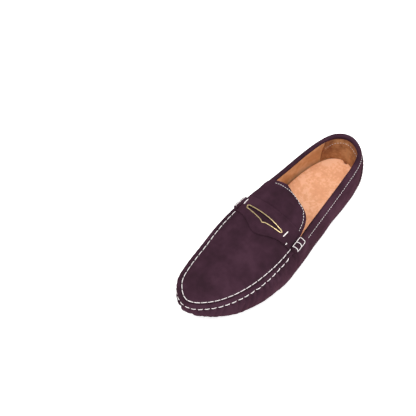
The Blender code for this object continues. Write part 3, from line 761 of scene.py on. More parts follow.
@dataclass(frozen=True)
class Rubber:
    """Moulded tread rubber: near black, satin, with the faint bloom and pitting of a mould."""

    name: str = "moulded_black_rubber"
    dark: str = "#232428"
    light: str = "#3a3b41"
    roughness: float = 0.48

    def build(self) -> Finish:
        """Makes the material.

        Returns:
            The new material.
        """
        made, tree, shader, place = new_finish(self.name)
        bloom = add(tree, "ShaderNodeTexNoise", None, {"Vector": place, "Scale": 90.0, "Detail": 5.0})
        pits = add(tree, "ShaderNodeTexNoise", None, {"Vector": place, "Scale": 1400.0, "Detail": 2.0})
        tree.links.new(
            ramp(tree, bloom.outputs["Fac"], ((0.35, self.dark), (0.7, self.light))), shader.inputs["Base Color"]
        )
        gloss = add(
            tree, "ShaderNodeMapRange", None,
            {"Value": bloom.outputs["Fac"], "To Min": self.roughness - 0.1, "To Max": self.roughness + 0.12},
        )
        tree.links.new(gloss.outputs[0], shader.inputs["Roughness"])
        bump = add(
            tree, "ShaderNodeBump", None, {"Height": pits.outputs["Fac"], "Strength": 0.35, "Distance": 0.06 * MM}
        )
        tree.links.new(bump.outputs[0], shader.inputs["Normal"])
        shader.inputs["IOR"].default_value = 1.52
        return made


@dataclass(frozen=True)
class Thread:
    """Waxed cotton thread: off-white, twisted plies that show as fine slanting ridges."""

    name: str = "waxed_cotton_thread"
    dark: str = "#b8adae"
    light: str = "#e9e3e2"
    ply_mm: float = 0.5

    def build(self) -> Finish:
        """Makes the material.

        Returns:
            The new material.
        """
        made, tree, shader, place = new_finish(self.name)
        fibre = add(tree, "ShaderNodeTexNoise", None, {"Vector": place, "Scale": 900.0, "Detail": 3.0})
        ply = add(
            tree,
            "ShaderNodeTexWave",
            {"bands_direction": "DIAGONAL"},
            {"Vector": place, "Scale": 1000 / self.ply_mm / 6.28, "Distortion": 1.0},
        )
        tree.links.new(
            ramp(tree, fibre.outputs["Fac"], ((0.25, self.dark), (0.6, self.light))), shader.inputs["Base Color"]
        )
        bump = add(
            tree, "ShaderNodeBump", None, {"Height": ply.outputs["Fac"], "Strength": 0.5, "Distance": 0.12 * MM}
        )
        tree.links.new(bump.outputs[0], shader.inputs["Normal"])
        shader.inputs["Roughness"].default_value = 0.6
        shader.inputs["Sheen Weight"].default_value = 0.2
        return made


@dataclass(frozen=True)
class CastMetal:
    """Die-cast trim plated in pale gold: bright on its crowns, browner where the plating wears thin."""

    name: str = "pale_gold_plated_zinc"
    worn: str = "#8c7a58"
    bright: str = "#c3ae82"

    def build(self) -> Finish:
        """Makes the material.

        Returns:
            The new material.
        """
        made, tree, shader, place = new_finish(self.name)
        wear = add(tree, "ShaderNodeTexNoise", None, {"Vector": place, "Scale": 350.0, "Detail": 4.0})
        tree.links.new(
            ramp(tree, wear.outputs["Fac"], ((0.35, self.worn), (0.55, self.bright))), shader.inputs["Base Color"]
        )
        gloss = add(tree, "ShaderNodeMapRange", None, {"Value": wear.outputs["Fac"], "To Min": 0.38, "To Max": 0.22})
        tree.links.new(gloss.outputs[0], shader.inputs["Roughness"])
        shader.inputs["Metallic"].default_value = 1.0
        return made


@dataclass(frozen=True)
class Padding:
    """Hidden stuffing or board: foam cells or pressed fibres, all in one matt tone."""

    name: str
    dark: str
    light: str
    cell_mm: float

    def build(self) -> Finish:
        """Makes the material.

        Returns:
            The new material.
        """
        made, tree, shader, place = new_finish(self.name)
        cells = add(tree, "ShaderNodeTexVoronoi", None, {"Vector": place, "Scale": 1000 / self.cell_mm})
        tree.links.new(
            ramp(tree, cells.outputs["Distance"], ((0.1, self.dark), (0.6, self.light))), shader.inputs["Base Color"]
        )
        bump = add(
            tree, "ShaderNodeBump", None, {"Height": cells.outputs["Distance"], "Strength": 0.4, "Distance": 0.2 * MM}
        )
        tree.links.new(bump.outputs[0], shader.inputs["Normal"])
        shader.inputs["Roughness"].default_value = 0.95
        return made


@dataclass
class Finishes:
    """Every material of the shoe, made once."""

    nubuck: Finish = field(
        default_factory=Leather(
            "burgundy_nubuck", "#2b1b23", "#321f29", "#3a2530", 1.0,
            cloud_mm=42, sheen=0.05, sheen_tint="#d0707c", specular=0.05, ior=1.2,
        ).build
    )
    lining: Finish = field(
        default_factory=Leather(
            "smooth_tan_hide", "#7d5034", "#9b6a43", "#b98759", 0.55,
            cloud_mm=34, grain_mm=1.3, nap=0.08, specular=0.4,
        ).build
    )
    quarter: Finish = field(
        default_factory=Leather(
            "pale_tan_hide", "#c08a5c", "#d29e70", "#e3b489", 0.55,
            cloud_mm=34, grain_mm=1.2, nap=0.1, specular=0.4,
        ).build
    )
    grip: Finish = field(
        default_factory=Leather(
            "brushed_brown_hide", "#855638", "#a06f48", "#b8875c", 0.7,
            cloud_mm=18, grain_mm=1.0, nap=0.2, specular=0.3,
        ).build
    )
    sock: Finish = field(
        default_factory=Leather(
            "peach_pigskin", "#dda079", "#e6aa82", "#eeb793", 0.72,
            cloud_mm=15, grain_mm=1.7, nap=0.25, patchy=0.6, specular=0.3,
        ).build
    )
    rubber: Finish = field(default_factory=Rubber().build)
    thread: Finish = field(default_factory=Thread().build)
    metal: Finish = field(default_factory=CastMetal().build)
    foam: Finish = field(default_factory=Padding("open_cell_foam", "#cdbf9e", "#e6dcc2", 0.8).build)
    board: Finish = field(default_factory=Padding("pressed_fibreboard", "#6f5c44", "#93806a", 1.6).build)


# ---- stitches
@dataclass(frozen=True)
class Stitch:
    """How one kind of seam is sewn, in millimetres."""

    pitch: float
    length: float
    radius: float
    sink: float
    slant: float = 0.0
    jitter: float = 0.0


HAND = Stitch(pitch=7.4, length=5.5, radius=0.41, sink=0.75, slant=0.05, jitter=0.05)
LONG_HAND = Stitch(pitch=7.4, length=6.8, radius=0.4, sink=0.7, slant=0.02, jitter=0.03)
MACHINE = Stitch(pitch=3.2, length=2.0, radius=0.24, sink=0.3, jitter=0.03)
HEAVY = Stitch(pitch=5.2, length=4.4, radius=0.75, sink=0.7, jitter=0.05)
DOT = Stitch(pitch=20.0, length=2.2, radius=0.5, sink=0.5)
TACK = Stitch(pitch=20.0, length=7.6, radius=0.62, sink=0.6)


class StitchLayer:
    """Lays stitches along lines with one Geometry Nodes tree."""

    def __init__(self, last: Last, finish: Finish) -> None:
        """Keeps the last and builds the tree.

        Args:
            last: Gives the frame's origin.
            finish: The thread's material.
        """
        self.last = last
        self.finish = finish
        self.tree = self.build_tree()

    def build_tree(self) -> Tree:
        """A tree that turns a line with a surface normal, called lay, into a row of bent stitches.

        Returns:
            The tree that every seam shares.
        """
        tree = bpy.data.node_groups.new("stitch_row", "GeometryNodeTree")
        tree.interface.new_socket("Geometry", in_out="INPUT", socket_type="NodeSocketGeometry")
        for name in ("Pitch", "Length", "Radius", "Sink", "Slant", "Jitter"):
            tree.interface.new_socket(name, in_out="INPUT", socket_type="NodeSocketFloat")
        tree.interface.new_socket("Seed", in_out="INPUT", socket_type="NodeSocketInt")
        tree.interface.new_socket("Finish", in_out="INPUT", socket_type="NodeSocketMaterial")
        tree.interface.new_socket("Geometry", in_out="OUTPUT", socket_type="NodeSocketGeometry")
        given = add(tree, "NodeGroupInput").outputs

        half = maths(tree, "MULTIPLY", given["Length"], 0.5)
        back = maths(tree, "MULTIPLY", given["Length"], -0.5)
        start = add(tree, "ShaderNodeCombineXYZ", None, {"X": back}).outputs[0]
        end = add(tree, "ShaderNodeCombineXYZ", None, {"X": half}).outputs[0]
        bar = add(tree, "GeometryNodeCurvePrimitiveLine", None, {"Start": start, "End": end})
        bar = add(tree, "GeometryNodeResampleCurve", None, {"Curve": bar.outputs[0], "Count": 9})
        x = add(
            tree, "ShaderNodeSeparateXYZ", None, {0: add(tree, "GeometryNodeInputPosition").outputs[0]}
        ).outputs["X"]
        share = maths(tree, "DIVIDE", x, half)
        share = add(tree, "ShaderNodeMath", {"operation": "ABSOLUTE"}, {0: share}).outputs[0]
        bend = maths(tree, "POWER", share, 3.5)
        drop = maths(tree, "MULTIPLY", bend, given["Sink"])
        drop = maths(tree, "MULTIPLY", drop, -1.0)
        offset = add(tree, "ShaderNodeCombineXYZ", None, {"Z": drop}).outputs[0]
        bar = add(tree, "GeometryNodeSetPosition", None, {"Geometry": bar.outputs[0], "Offset": offset})
        profile = add(tree, "GeometryNodeCurvePrimitiveCircle", None, {"Resolution": 8, "Radius": given["Radius"]})
        bar = add(
            tree,
            "GeometryNodeCurveToMesh",
            None,
            {"Curve": bar.outputs[0], "Profile Curve": profile.outputs[0], "Fill Caps": True},
        )
        line = add(tree, "GeometryNodeMeshToCurve", None, {0: given["Geometry"]})
        dots = add(
            tree, "GeometryNodeCurveToPoints", {"mode": "LENGTH"},
            {"Curve": line.outputs[0], "Length": given["Pitch"]},
        )
        lay = add(tree, "GeometryNodeInputNamedAttribute", {"data_type": "FLOAT_VECTOR"}, {"Name": "lay"})
        turned = add(tree, "FunctionNodeAlignRotationToVector", {"axis": "X"}, {"Vector": dots.outputs["Tangent"]})
        turned = add(
            tree,
            "FunctionNodeAlignRotationToVector",
            {"axis": "Z", "pivot_axis": "X"},
            {"Rotation": turned.outputs[0], "Vector": lay.outputs[0]},
        )
        least = maths(tree, "SUBTRACT", given["Slant"], given["Jitter"])
        most = maths(tree, "ADD", given["Slant"], given["Jitter"])
        angle = add(
            tree,
            "FunctionNodeRandomValue",
            {"data_type": "FLOAT"},
            {2: least, 3: most, "Seed": given["Seed"]},
        )
        twist = add(tree, "ShaderNodeCombineXYZ", None, {"Z": angle.outputs[1]})
        twist = add(tree, "FunctionNodeEulerToRotation", None, {0: twist.outputs[0]})
        turned = add(
            tree,
            "FunctionNodeRotateRotation",
            {"rotation_space": "LOCAL"},
            {"Rotation": turned.outputs[0], "Rotate By": twist.outputs[0]},
        )
        row = add(
            tree,
            "GeometryNodeInstanceOnPoints",
            None,
            {"Points": dots.outputs["Points"], "Instance": bar.outputs[0], "Rotation": turned.outputs[0]},
        )
        solid = add(tree, "GeometryNodeRealizeInstances", None, {0: row.outputs[0]})
        solid = add(tree, "GeometryNodeSetMaterial", None, {0: solid.outputs[0], "Material": given["Finish"]})
        add(tree, "NodeGroupOutput", None, {0: solid.outputs[0]})
        return tree

    def sew(self, name: str, rows: Sequence[Row], kind: Stitch, nodes: Sequence[str], seed: int = 1) -> Piece:
        """Sews one piece of stitches along one or more lines.

        Args:
            name: Name of the piece.
            rows: Lines of points and their surface normals, in design millimetres.
            kind: How the seam is sewn.
            nodes: CAD nodes that the stitches stand for.
            seed: Seed for the small turns of hand stitches.

        Returns:
            The dressed piece.
        """
        points = np.concatenate([p for p, _ in rows])
        lays = np.concatenate([n for _, n in rows])
        edges, start = [], 0
        for line, _ in rows:
            edges += [(start + i, start + i + 1) for i in range(len(line) - 1)]
            start += len(line)
        mesh = bpy.data.meshes.new(name)
        mesh.from_pydata(((points - self.last.origin) * MM).tolist(), edges, [])
        stored = mesh.attributes.new("lay", "FLOAT_VECTOR", "POINT")
        stored.data.foreach_set("vector", lays.astype(np.float32).ravel())
        obj = linked(name, mesh)
        step = obj.modifiers.new("stitches", "NODES")
        step.node_group = self.tree
        values = {
            "Pitch": kind.pitch * MM,
            "Length": kind.length * MM,
            "Radius": kind.radius * MM,
            "Sink": kind.sink * MM,
            "Slant": kind.slant,
            "Jitter": kind.jitter,
            "Seed": seed,
            "Finish": self.finish,
        }
        for item in self.tree.interface.items_tree:
            if item.in_out == "INPUT" and item.name in values:
                step[item.identifier] = values[item.name]
        return dress(applied(obj), self.finish, nodes, 60)


class Surface:
    """The skin of finished pieces, on which seams are laid."""

    def __init__(self, pieces: Sequence[Piece], last: Last) -> None:
        """Builds a search tree of the pieces' faces.

        Args:
            pieces: Finished pieces.
            last: Gives the frame's origin.
        """
        self.last = last
        points, faces = [], []
        for piece in pieces:
            start = len(points)
            points += [v.co.copy() for v in piece.data.vertices]
            faces += [[start + i for i in p.vertices] for p in piece.data.polygons]
        self.tree = BVHTree.FromPolygons(points, faces)

    def cling(self, points: Grid, lift: float = 0.0, smooth: int = 4) -> Row:
        """Moves points that hover over the surface down onto it.

        Args:
            points: Points in design millimetres, a little outside the surface.
            lift: Distance to stand off the surface.
            smooth: How many neighbours on each side a normal is averaged with.

        Returns:
            Points and unit normals in design millimetres.
        """
        found, lays = [], []
        for point in (np.asarray(points) - self.last.origin) * MM:
            place, normal, _, _ = self.tree.find_nearest(Vector(point))
            found.append(np.array(place) / MM + self.last.origin)
            lays.append(np.array(normal))
        padded = np.pad(np.array(lays), ((smooth, smooth), (0, 0)), mode="edge")
        kernel = np.ones(2 * smooth + 1)
        lay = unit(np.stack([np.convolve(padded[:, i], kernel, "valid") for i in range(3)], -1))
        return np.array(found) + lay * lift, lay


# ---- the upper
@dataclass
class Creases:
    """Folds that the gathered seam pulls into the wall, and the hide's slow waves."""

    seed: int = 11
    pitch: float = 7.5
    span: Pair = (-128.0, 146.0)
    shift: float = 0.8
    strongest: float = 62.0
    depths: Pair = (1.3, 3.2)
    leans: Pair = (-0.4, 0.4)
    widths: Pair = (0.8, 1.5)
    reaches: Pair = (7, 20)

    def depth(self, t: Grid, s: Grid) -> Grid:
        """How far the wall is drawn in.

        Args:
            t: Distance along the seam from the toe's tip, positive on the outer side.
            s: Distance below the top edge.

        Returns:
            Depth in millimetres, below 0 where the hide bulges.
        """
        random = np.random.default_rng(self.seed)
        sum_ = np.zeros(np.broadcast(t, s).shape)
        for at in np.arange(self.span[0], self.span[1], self.pitch):
            at = at + random.uniform(-self.shift, self.shift)
            strength = 0.35 + 0.65 * float(bell(np.array(at - self.strongest), self.strongest))
            deep = strength * random.uniform(*self.depths)
            lean, wide, long_ = (random.uniform(*span) for span in (self.leans, self.widths, self.reaches))
            below = np.maximum(s - 5.0, 0)
            shape = bell(t - at - lean * below, wide * (1 + 0.05 * below))
            sum_ += deep * shape * ease(3.6, 6.0, s) * np.exp(-below / long_)
            sum_ -= 0.45 * deep * bell(t - at - 3.7 - lean * below, 2.4) * ease(4.5, 9.0, s) * np.exp(-below / long_)
        return sum_

    def waves(self, t: Grid, s: Grid, high: float = 0.35) -> Grid:
        """Slow, shallow waves of the whole hide."""
        first = np.sin(t / 11.3 + 0.8 * np.sin(s / 17.0)) * np.sin(s / 13.0 + 0.6)
        return high * (first + 0.6 * np.sin(t / 6.1 + s / 9.0 + 1.3) * np.sin(s / 21.0)) * ease(6, 16, s)


@dataclass
class Upper:
    """The wrap-round wall, the apron with its tongue, and the linings behind them."""

    last: Last
    finishes: Finishes
    thickness: float = 1.6
    ridge_width: float = 6.2
    ridge_height: float = 1.9
    stitch_pitch: float = 7.5
    apron_edge: float = 0.25
    pillow: float = 0.8
    seam_dip: float = 2.4
    seam_dip_width: float = 1.5
    tongue_stitch: float = 2.3
    tongue_ends: Pair = (0.012, 0.95)
    grip_half: float = 1.6
    creases: Creases = field(default_factory=Creases)

    def columns(self) -> Grid:
        """Station numbers round the shoe, close together along the gathered seam.

        Returns:
            Station numbers of one whole ring.
        """
        fine = np.linspace(0, self.last.toe, 3001)
        step = np.linalg.norm(np.diff(self.last.rim(fine), axis=0), axis=1)
        gone = np.concatenate(
            [[0], np.cumsum(step / np.interp(fine[1:], [5.2, 5.8, 9.0, 10.0], [2.3, 0.6, 0.6, 0.85]))]
        )
        half = np.interp(np.linspace(0, gone[-1], int(gone[-1]) + 1), gone, fine)
        return np.concatenate([half, self.last.stations - half[-2:0:-1]])

    def seam_way(self, k: Grid) -> Grid:
        """Distance along the top edge from the toe's tip, positive on the outer side.

        Args:
            k: Station numbers.

        Returns:
            One distance for each station.
        """
        fine = np.linspace(0, self.last.stations, 4001)
        gone = lengths(self.last.rim(fine))
        return np.interp(self.last.toe, fine, gone) - np.interp(k, fine, gone)

    def ridge_at(self, k: Grid) -> Grid:
        """Width of the seam's ridge: narrower where the seam runs in under the strap."""
        return self.ridge_width - 2.6 * (1 - ease(6.3, 8.0, k) + ease(14.2, 15.6, k))

    def face(self, k: Grid, s: Grid, v: Grid) -> Grid:
        """The wall's outer face with the seam's ridge, folds and waves.

        Args:
            k: Station numbers.
            s: Distances down the wall, one row for each station.
            v: The wall parameters at those distances.

        Returns:
            Points of the outer face.
        """
        k = np.broadcast_to(k[:, None], v.shape)
        t = self.seam_way(k)
        front = ease(5.7, 6.25, k) * (1 - ease(15.75, 16.3, k))
        ridge_width = self.ridge_at(k)
        share = np.clip(s / ridge_width, 0, 1)
        scallop = 1 + 0.13 * np.cos(2 * math.pi * t / self.stitch_pitch) * share
        ridge = self.ridge_height * np.sin(math.pi * share) ** 0.75 * scallop
        out = front * (ridge - self.creases.depth(t, s - ridge_width + 5.6)) + self.creases.waves(t, s)
        out = out * (1 - ease(0.82, 1.0, v))
        return self.last.layer(k, v, -out)

    def build_wall(self, windows: Sequence[Piece]) -> Piece:
        """The wall and the bottom in one hide, cut open for the rubber.

        Args:
            windows: Solids that open the windows in the bottom.

        Returns:
            The dressed piece.
        """
        k = self.columns()
        top = np.array([0, 0.35, 0.8, 1.4, 2.0, 2.7, 3.4, 4.1, 4.7, 5.2, 5.6, 6.0, 6.6, 7.4, 8.4, 9.8])
        fine = self.last.wall(k[:, None], np.linspace(0, 1, 61)[None])
        whole = np.linalg.norm(np.diff(fine, axis=1), axis=2).sum(1)
        s = np.concatenate(
            [np.repeat(top[None], len(k), 0), top[-1] + (whole - top[-1])[:, None] * np.linspace(0, 1, 27)[1:]], 1
        )
        v = self.last.v_at(k, s)
        v[:, -1] = 1.0
        outer = self.face(k, s, v)
        inner = self.last.layer(np.broadcast_to(k[:, None], v.shape), v, self.thickness)
        rows, columns = v.shape
        count, half, cross = rows * columns, rows // 2, 14
        points = [outer.reshape(-1, 3), inner.reshape(-1, 3)]
        quads = grid_quads(rows, columns, True)
        tops = np.arange(rows + 1) % rows * columns
        faces = [quads, quads + count, np.stack([tops[:-1], tops[1:], tops[1:] + count, tops[:-1] + count], -1)]
        across = np.linspace(0, 1, cross)[None, :, None]
        for grid in (outer, inner):
            right, left = grid[: half + 1, -1], grid[-np.arange(half + 1) % rows, -1]
            start = sum(len(p) for p in points)
            points.append((right[:, None] + (left - right)[:, None] * across).reshape(-1, 3))
            faces.append(grid_quads(half + 1, cross, False, start))
        obj = make_mesh("wrap_upper", np.concatenate(points), faces, self.last)
        obj = cut(obj, join("window_cutter", windows))
        return dress(obj, self.finishes.nubuck, ["wrap_upper"])

    def build_apron(self) -> Piece:
        """The top plug with its tongue: a little pillowed, its edge tucked into the seam.

        Returns:
            The dressed piece.
        """
        last = self.last
        u = np.concatenate(
            [
                [0.004, 0.012, 0.024], np.linspace(0.04, 1.0, 118), np.linspace(1.02, 1.9, 40),
                [1.93, 1.955, 1.975, 1.988, 1.996],
            ]
        )
        w = 0.5 - 0.5 * np.cos(np.linspace(0.1, math.pi - 0.1, 75)) / math.cos(0.1)
        u, w = grid_of(u, w)
        face = last.apron(u, w, self.apron_edge)
        seam = np.linspace(0, 1, 500)
        seam = np.concatenate([last.apron(seam, 0, self.apron_edge), last.apron(seam, 1, self.apron_edge)])
        to_seam = self.distance(face, seam)
        to_end = self.distance(face, self.tongue_line(0.0, 300))
        front = 1 - ease(0.95, 1.12, u)
        dip = self.seam_dip * (1 - ease(0, self.seam_dip_width, to_seam)) + 0.2 * bell(to_seam - 1.6, 0.6)
        up = front * (self.pillow * ease(1.2, 11, to_seam) - dip)
        dip = 0.55 * (1 - ease(0, 1.1, to_end)) + 0.2 * bell(to_end - 2.3, 0.6)
        up += (1 - front) * self.pillow * ease(0.5, 9, to_end) - dip
        slow = np.sin(face[..., 0] / 13 + face[..., 1] / 29) * np.sin(face[..., 1] / 23 + 1.1)
        face[..., 2] += up + 0.35 * slow * ease(4, 16, np.minimum(to_seam, to_end))
        under = face - np.array([0, 0, self.thickness])
        return dress(make_skin("apron", face, under, last), self.finishes.nubuck, ["apron"])

    def tongue_line(self, inset: float, count: int, start: float = 0.05, end: float = 0.05) -> Grid:
        """The tongue's outline moved inwards, from its outer side round the end to its inner side.

        Args:
            inset: Distance inside the edge.
            count: Number of points.
            start: Angle from the side at which the line begins.
            end: Angle from the other side at which it ends.

        Returns:
            Points on the smooth apron surface.
        """
        angle = start + (math.pi - end - start) * np.linspace(0, 1, count) ** 1.5
        s = np.sin(angle) ** (2 / self.last.tongue_square) * (1 - inset / self.last.tongue_length)
        across = np.cos(angle) * (1 - inset / 30.0)
        limit = (1 - s**self.last.tongue_square) ** 0.5
        w = 0.5 + 0.5 * np.clip(across / np.maximum(limit, 1e-6), -1, 1)
        return self.last.apron(1 + np.minimum(s, 0.9995), w, self.apron_edge)

    @staticmethod
    def distance(points: Grid, line: Grid) -> Grid:
        """Distance from each point to the nearest point of a line.

        Args:
            points: A grid of points.
            line: Points of a line.

        Returns:
            One distance for each point of the grid.
        """
        flat = points.reshape(-1, 3)
        near = [
            np.sqrt(((flat[i : i + 2000, None] - line[None]) ** 2).sum(2)).min(1) for i in range(0, len(flat), 2000)
        ]
        return np.concatenate(near).reshape(points.shape[:-1])

    def build_apron_lining(self) -> Piece:
        """The thin hide glued under the apron and tongue.

        Returns:
            The dressed piece.
        """
        u, w = grid_of(
            np.concatenate([np.linspace(0.03, 1, 50), np.linspace(1.03, 1.93, 28), [1.95, 1.97]]),
            np.linspace(0, 1, 40),
        )
        face = self.last.apron(u, w, self.apron_edge + 2.6)
        face[..., 2] -= self.thickness + 0.25 - self.pillow * 0.5
        under = face - np.array([0, 0, 0.9])
        return dress(
            make_skin("apron_lining", face, under, self.last), self.finishes.lining, ["apron_lining"]
        )

    def sheet(
        self, name: str, k: Grid, v: Grid, depth: float, thickness: float, finish: Finish, top: float = 1.7,
        wave: float = 0.25,
    ) -> Piece:
        """A lining sheet behind the wall.

        Args:
            name: Name of the piece and of the CAD node that it stands for.
            k: Stations from end to end.
            v: Wall parameters from its top edge to its foot.
            depth: Distance of its outer face behind the wall.
            thickness: Its thickness.
            finish: Its material.
            top: Depth to which it closes up at the topline.
            wave: Height of its slow waves.

        Returns:
            The dressed piece.
        """
        k, v = grid_of(k, v)
        way = wave * np.sin(k * 4.1) * np.sin(v * 9.0) * ease(0, 0.25, v)
        depth = top + (depth - top) * ease(0.06, 0.25, v)
        inner = self.last.layer(k, v, depth + thickness + way)
        return dress(make_skin(name, self.last.layer(k, v, depth + way), inner, self.last), finish, [name])

    def build_linings(self) -> Piece:
        """The linings of the vamp and the quarters, and the patch that grips the heel, which is returned.

        Returns:
            The heel patch.
        """
        rows = np.linspace(0.04, 0.86, 30)
        self.sheet("vamp_lining", np.linspace(5.9, 16.1, 120), rows, 2.0, 0.9, self.finishes.lining)
        self.sheet("quarter_lining", np.linspace(-5.85, 5.85, 170), rows, 3.7, 0.7, self.finishes.quarter)
        foam = self.sheet(
            "collar_foam", np.linspace(-5, 5, 120), np.linspace(0.03, 0.1, 6), 1.65, 0.45, self.finishes.foam, 1.65, 0
        )
        k, v = grid_of(np.linspace(-1, 1, 70), np.linspace(0, 1, 40))
        stations = k * (1.75 + 0.1 * v)
        down = 0.1 + 0.66 * v
        behind = 2.5 + 2.1 * ease(0.06, 0.25, down)
        inner = self.last.layer(stations, down, behind + 0.75 + 0.15 * np.sin(k * 7) * np.sin(v * 5))
        outer = self.last.layer(stations, down, behind)
        made = make_skin("heel_grip_lining", outer, inner, self.last)
        return dress(made, self.finishes.grip, ["heel_grip_lining"])

    def grip_row(self, patch: Surface) -> Row:
        """The arc of machine stitches that holds the heel patch to the lining.

        Args:
            patch: The heel patch's surface.

        Returns:
            Points and unit normals.
        """
        k = np.linspace(-self.grip_half, self.grip_half, 200)
        line = self.last.layer(k, 0.2 + 0.035 * k**2 + 0.05 * np.abs(k / self.grip_half) ** 6, np.full(200, 8.0))
        return patch.cling(line, 0.05, 6)

    def tongue_row(self, top: Surface) -> Row:
        """The machine row inside the tongue's edge.

        Args:
            top: The apron's surface.

        Returns:
            Points and unit normals.
        """
        line = self.tongue_line(self.tongue_stitch, 320, *self.tongue_ends)
        return top.cling(line + (0, 0, 2.0), 0.1, 4)

    def seam_rows(self, wall: Surface, top: Surface) -> list[Row]:
        """The two hand-sewn rows of the moccasin seam: on the wall's ridge and on the apron's edge.

        Args:
            wall: The wall's surface.
            top: The apron's surface.

        Returns:
            The row on the ridge, then the row on the apron.
        """
        k = np.linspace(6.6, 15.3, 500)
        v = self.last.v_at(k, self.ridge_at(k)[:, None] - 0.7)[:, 0]
        outer = wall.cling(self.last.layer(k, v, -3.0), 0.25, 10)
        u = np.concatenate([np.linspace(0.93, 0.0, 260), np.linspace(0.0, 0.955, 260)[1:]])
        w = np.concatenate([np.ones(260), np.zeros(259)])
        inner = top.cling(self.last.apron(u, w, self.apron_edge + 1.3) + (0, 0, 1.5), 0.2, 10)
        return [outer, inner]


# ---- the collar
@dataclass
class Collar:
    """The padded band folded over the topline."""

    last: Last
    finishes: Finishes
    end: float = 5.72
    drop: float = 9.0
    heel_drop: float = 6.8
    inner_drop: float = 7.5
    stitch: float = 1.3
    puff: float = 1.0

    def depth_at(self, k: Grid) -> Grid:
        """How far down the outside the band reaches: less at the heel."""
        return self.heel_drop + (self.drop - self.heel_drop) * ease(0.8, 4.5, np.abs(k))

    def sections(self, k: Grid) -> Grid:
        """The closed outlines of the band, one for each station.

        Args:
            k: Station numbers.

        Returns:
            Points, stations by outline by three.
        """
        last = self.last
        k = k[:, None]
        tight = 1 - 0.75 * ease(5.35, 5.72, np.abs(k))

        def on_wall(s: Grid, depth: Grid | float) -> Grid:
            """Points at distances down the wall and depths behind it."""
            s = np.broadcast_to(s, (len(k), s.shape[-1]))
            return last.layer(k, last.v_at(k[:, 0], s), np.broadcast_to(depth, s.shape))

        drop = self.depth_at(k)
        low = drop - self.stitch
        s = np.concatenate([drop, drop - 0.5, low, low * np.array([[0.88, 0.72, 0.55, 0.38, 0.2, 0.06]])], 1)
        off = 0.8 + self.puff * np.sin(math.pi * np.clip((low - s) / (low + 3), 0, 1)) ** 0.8 * tight
        off[:, 0], off[:, 2] = 0.5, 0.7
        outside = on_wall(s, -off)
        s_in = np.array([0.6, 1.8, 3.2, 4.6, 5.8, 6.8, self.inner_drop])
        rise = np.sin(math.pi * np.clip((self.inner_drop - s_in) / (self.inner_drop + 3), 0, 1))
        inside = on_wall(s_in, 3.0 + 0.6 * rise * tight)
        normal = last.wall_normal(k[:, 0], 0.0)
        centre, half = (outside[:, -1] + inside[:, 0]) / 2, (outside[:, -1] - inside[:, 0]) / 2
        up = unit(np.array([0, 0, 1.25]) - normal * normal[:, 2:])
        turn = np.linspace(0, math.pi, 11)[None, 1:-1, None]
        height = (1.9 + 0.5 * tight)[..., None]
        crest = centre[:, None] + half[:, None] * np.cos(turn) + up[:, None] * np.sin(turn) * height
        back_in = on_wall(s_in[[6, 4, 2, 0]], 2.4)
        back_out = on_wall(np.concatenate([0 * drop + 0.6, drop * 0.4, drop * 0.8, drop], 1), -0.2)
        arch = (back_in[:, -1:] + back_out[:, :1]) / 2 + up[:, None] * 1.0
        return np.concatenate([outside, crest, inside, back_in, arch, back_out], 1)

    def build(self) -> Piece:
        """The band, lofted through its closed outlines.

        Returns:
            The dressed piece.
        """
        obj = make_loft("collar_binding", self.sections(np.linspace(-self.end, self.end, 300)), self.last)
        return dress(obj, self.finishes.nubuck, ["collar_binding"], 50)

    def stitch_row(self, band: Surface) -> Row:
        """The machine row along the band's lower edge.

        Args:
            band: The band's surface.

        Returns:
            Points and unit normals.
        """
        k = np.linspace(-5.45, 5.45, 700)
        v = self.last.v_at(k, self.depth_at(k)[:, None] - self.stitch)[:, 0]
        return band.cling(self.last.layer(k, v, -3.5), 0.1, 6)


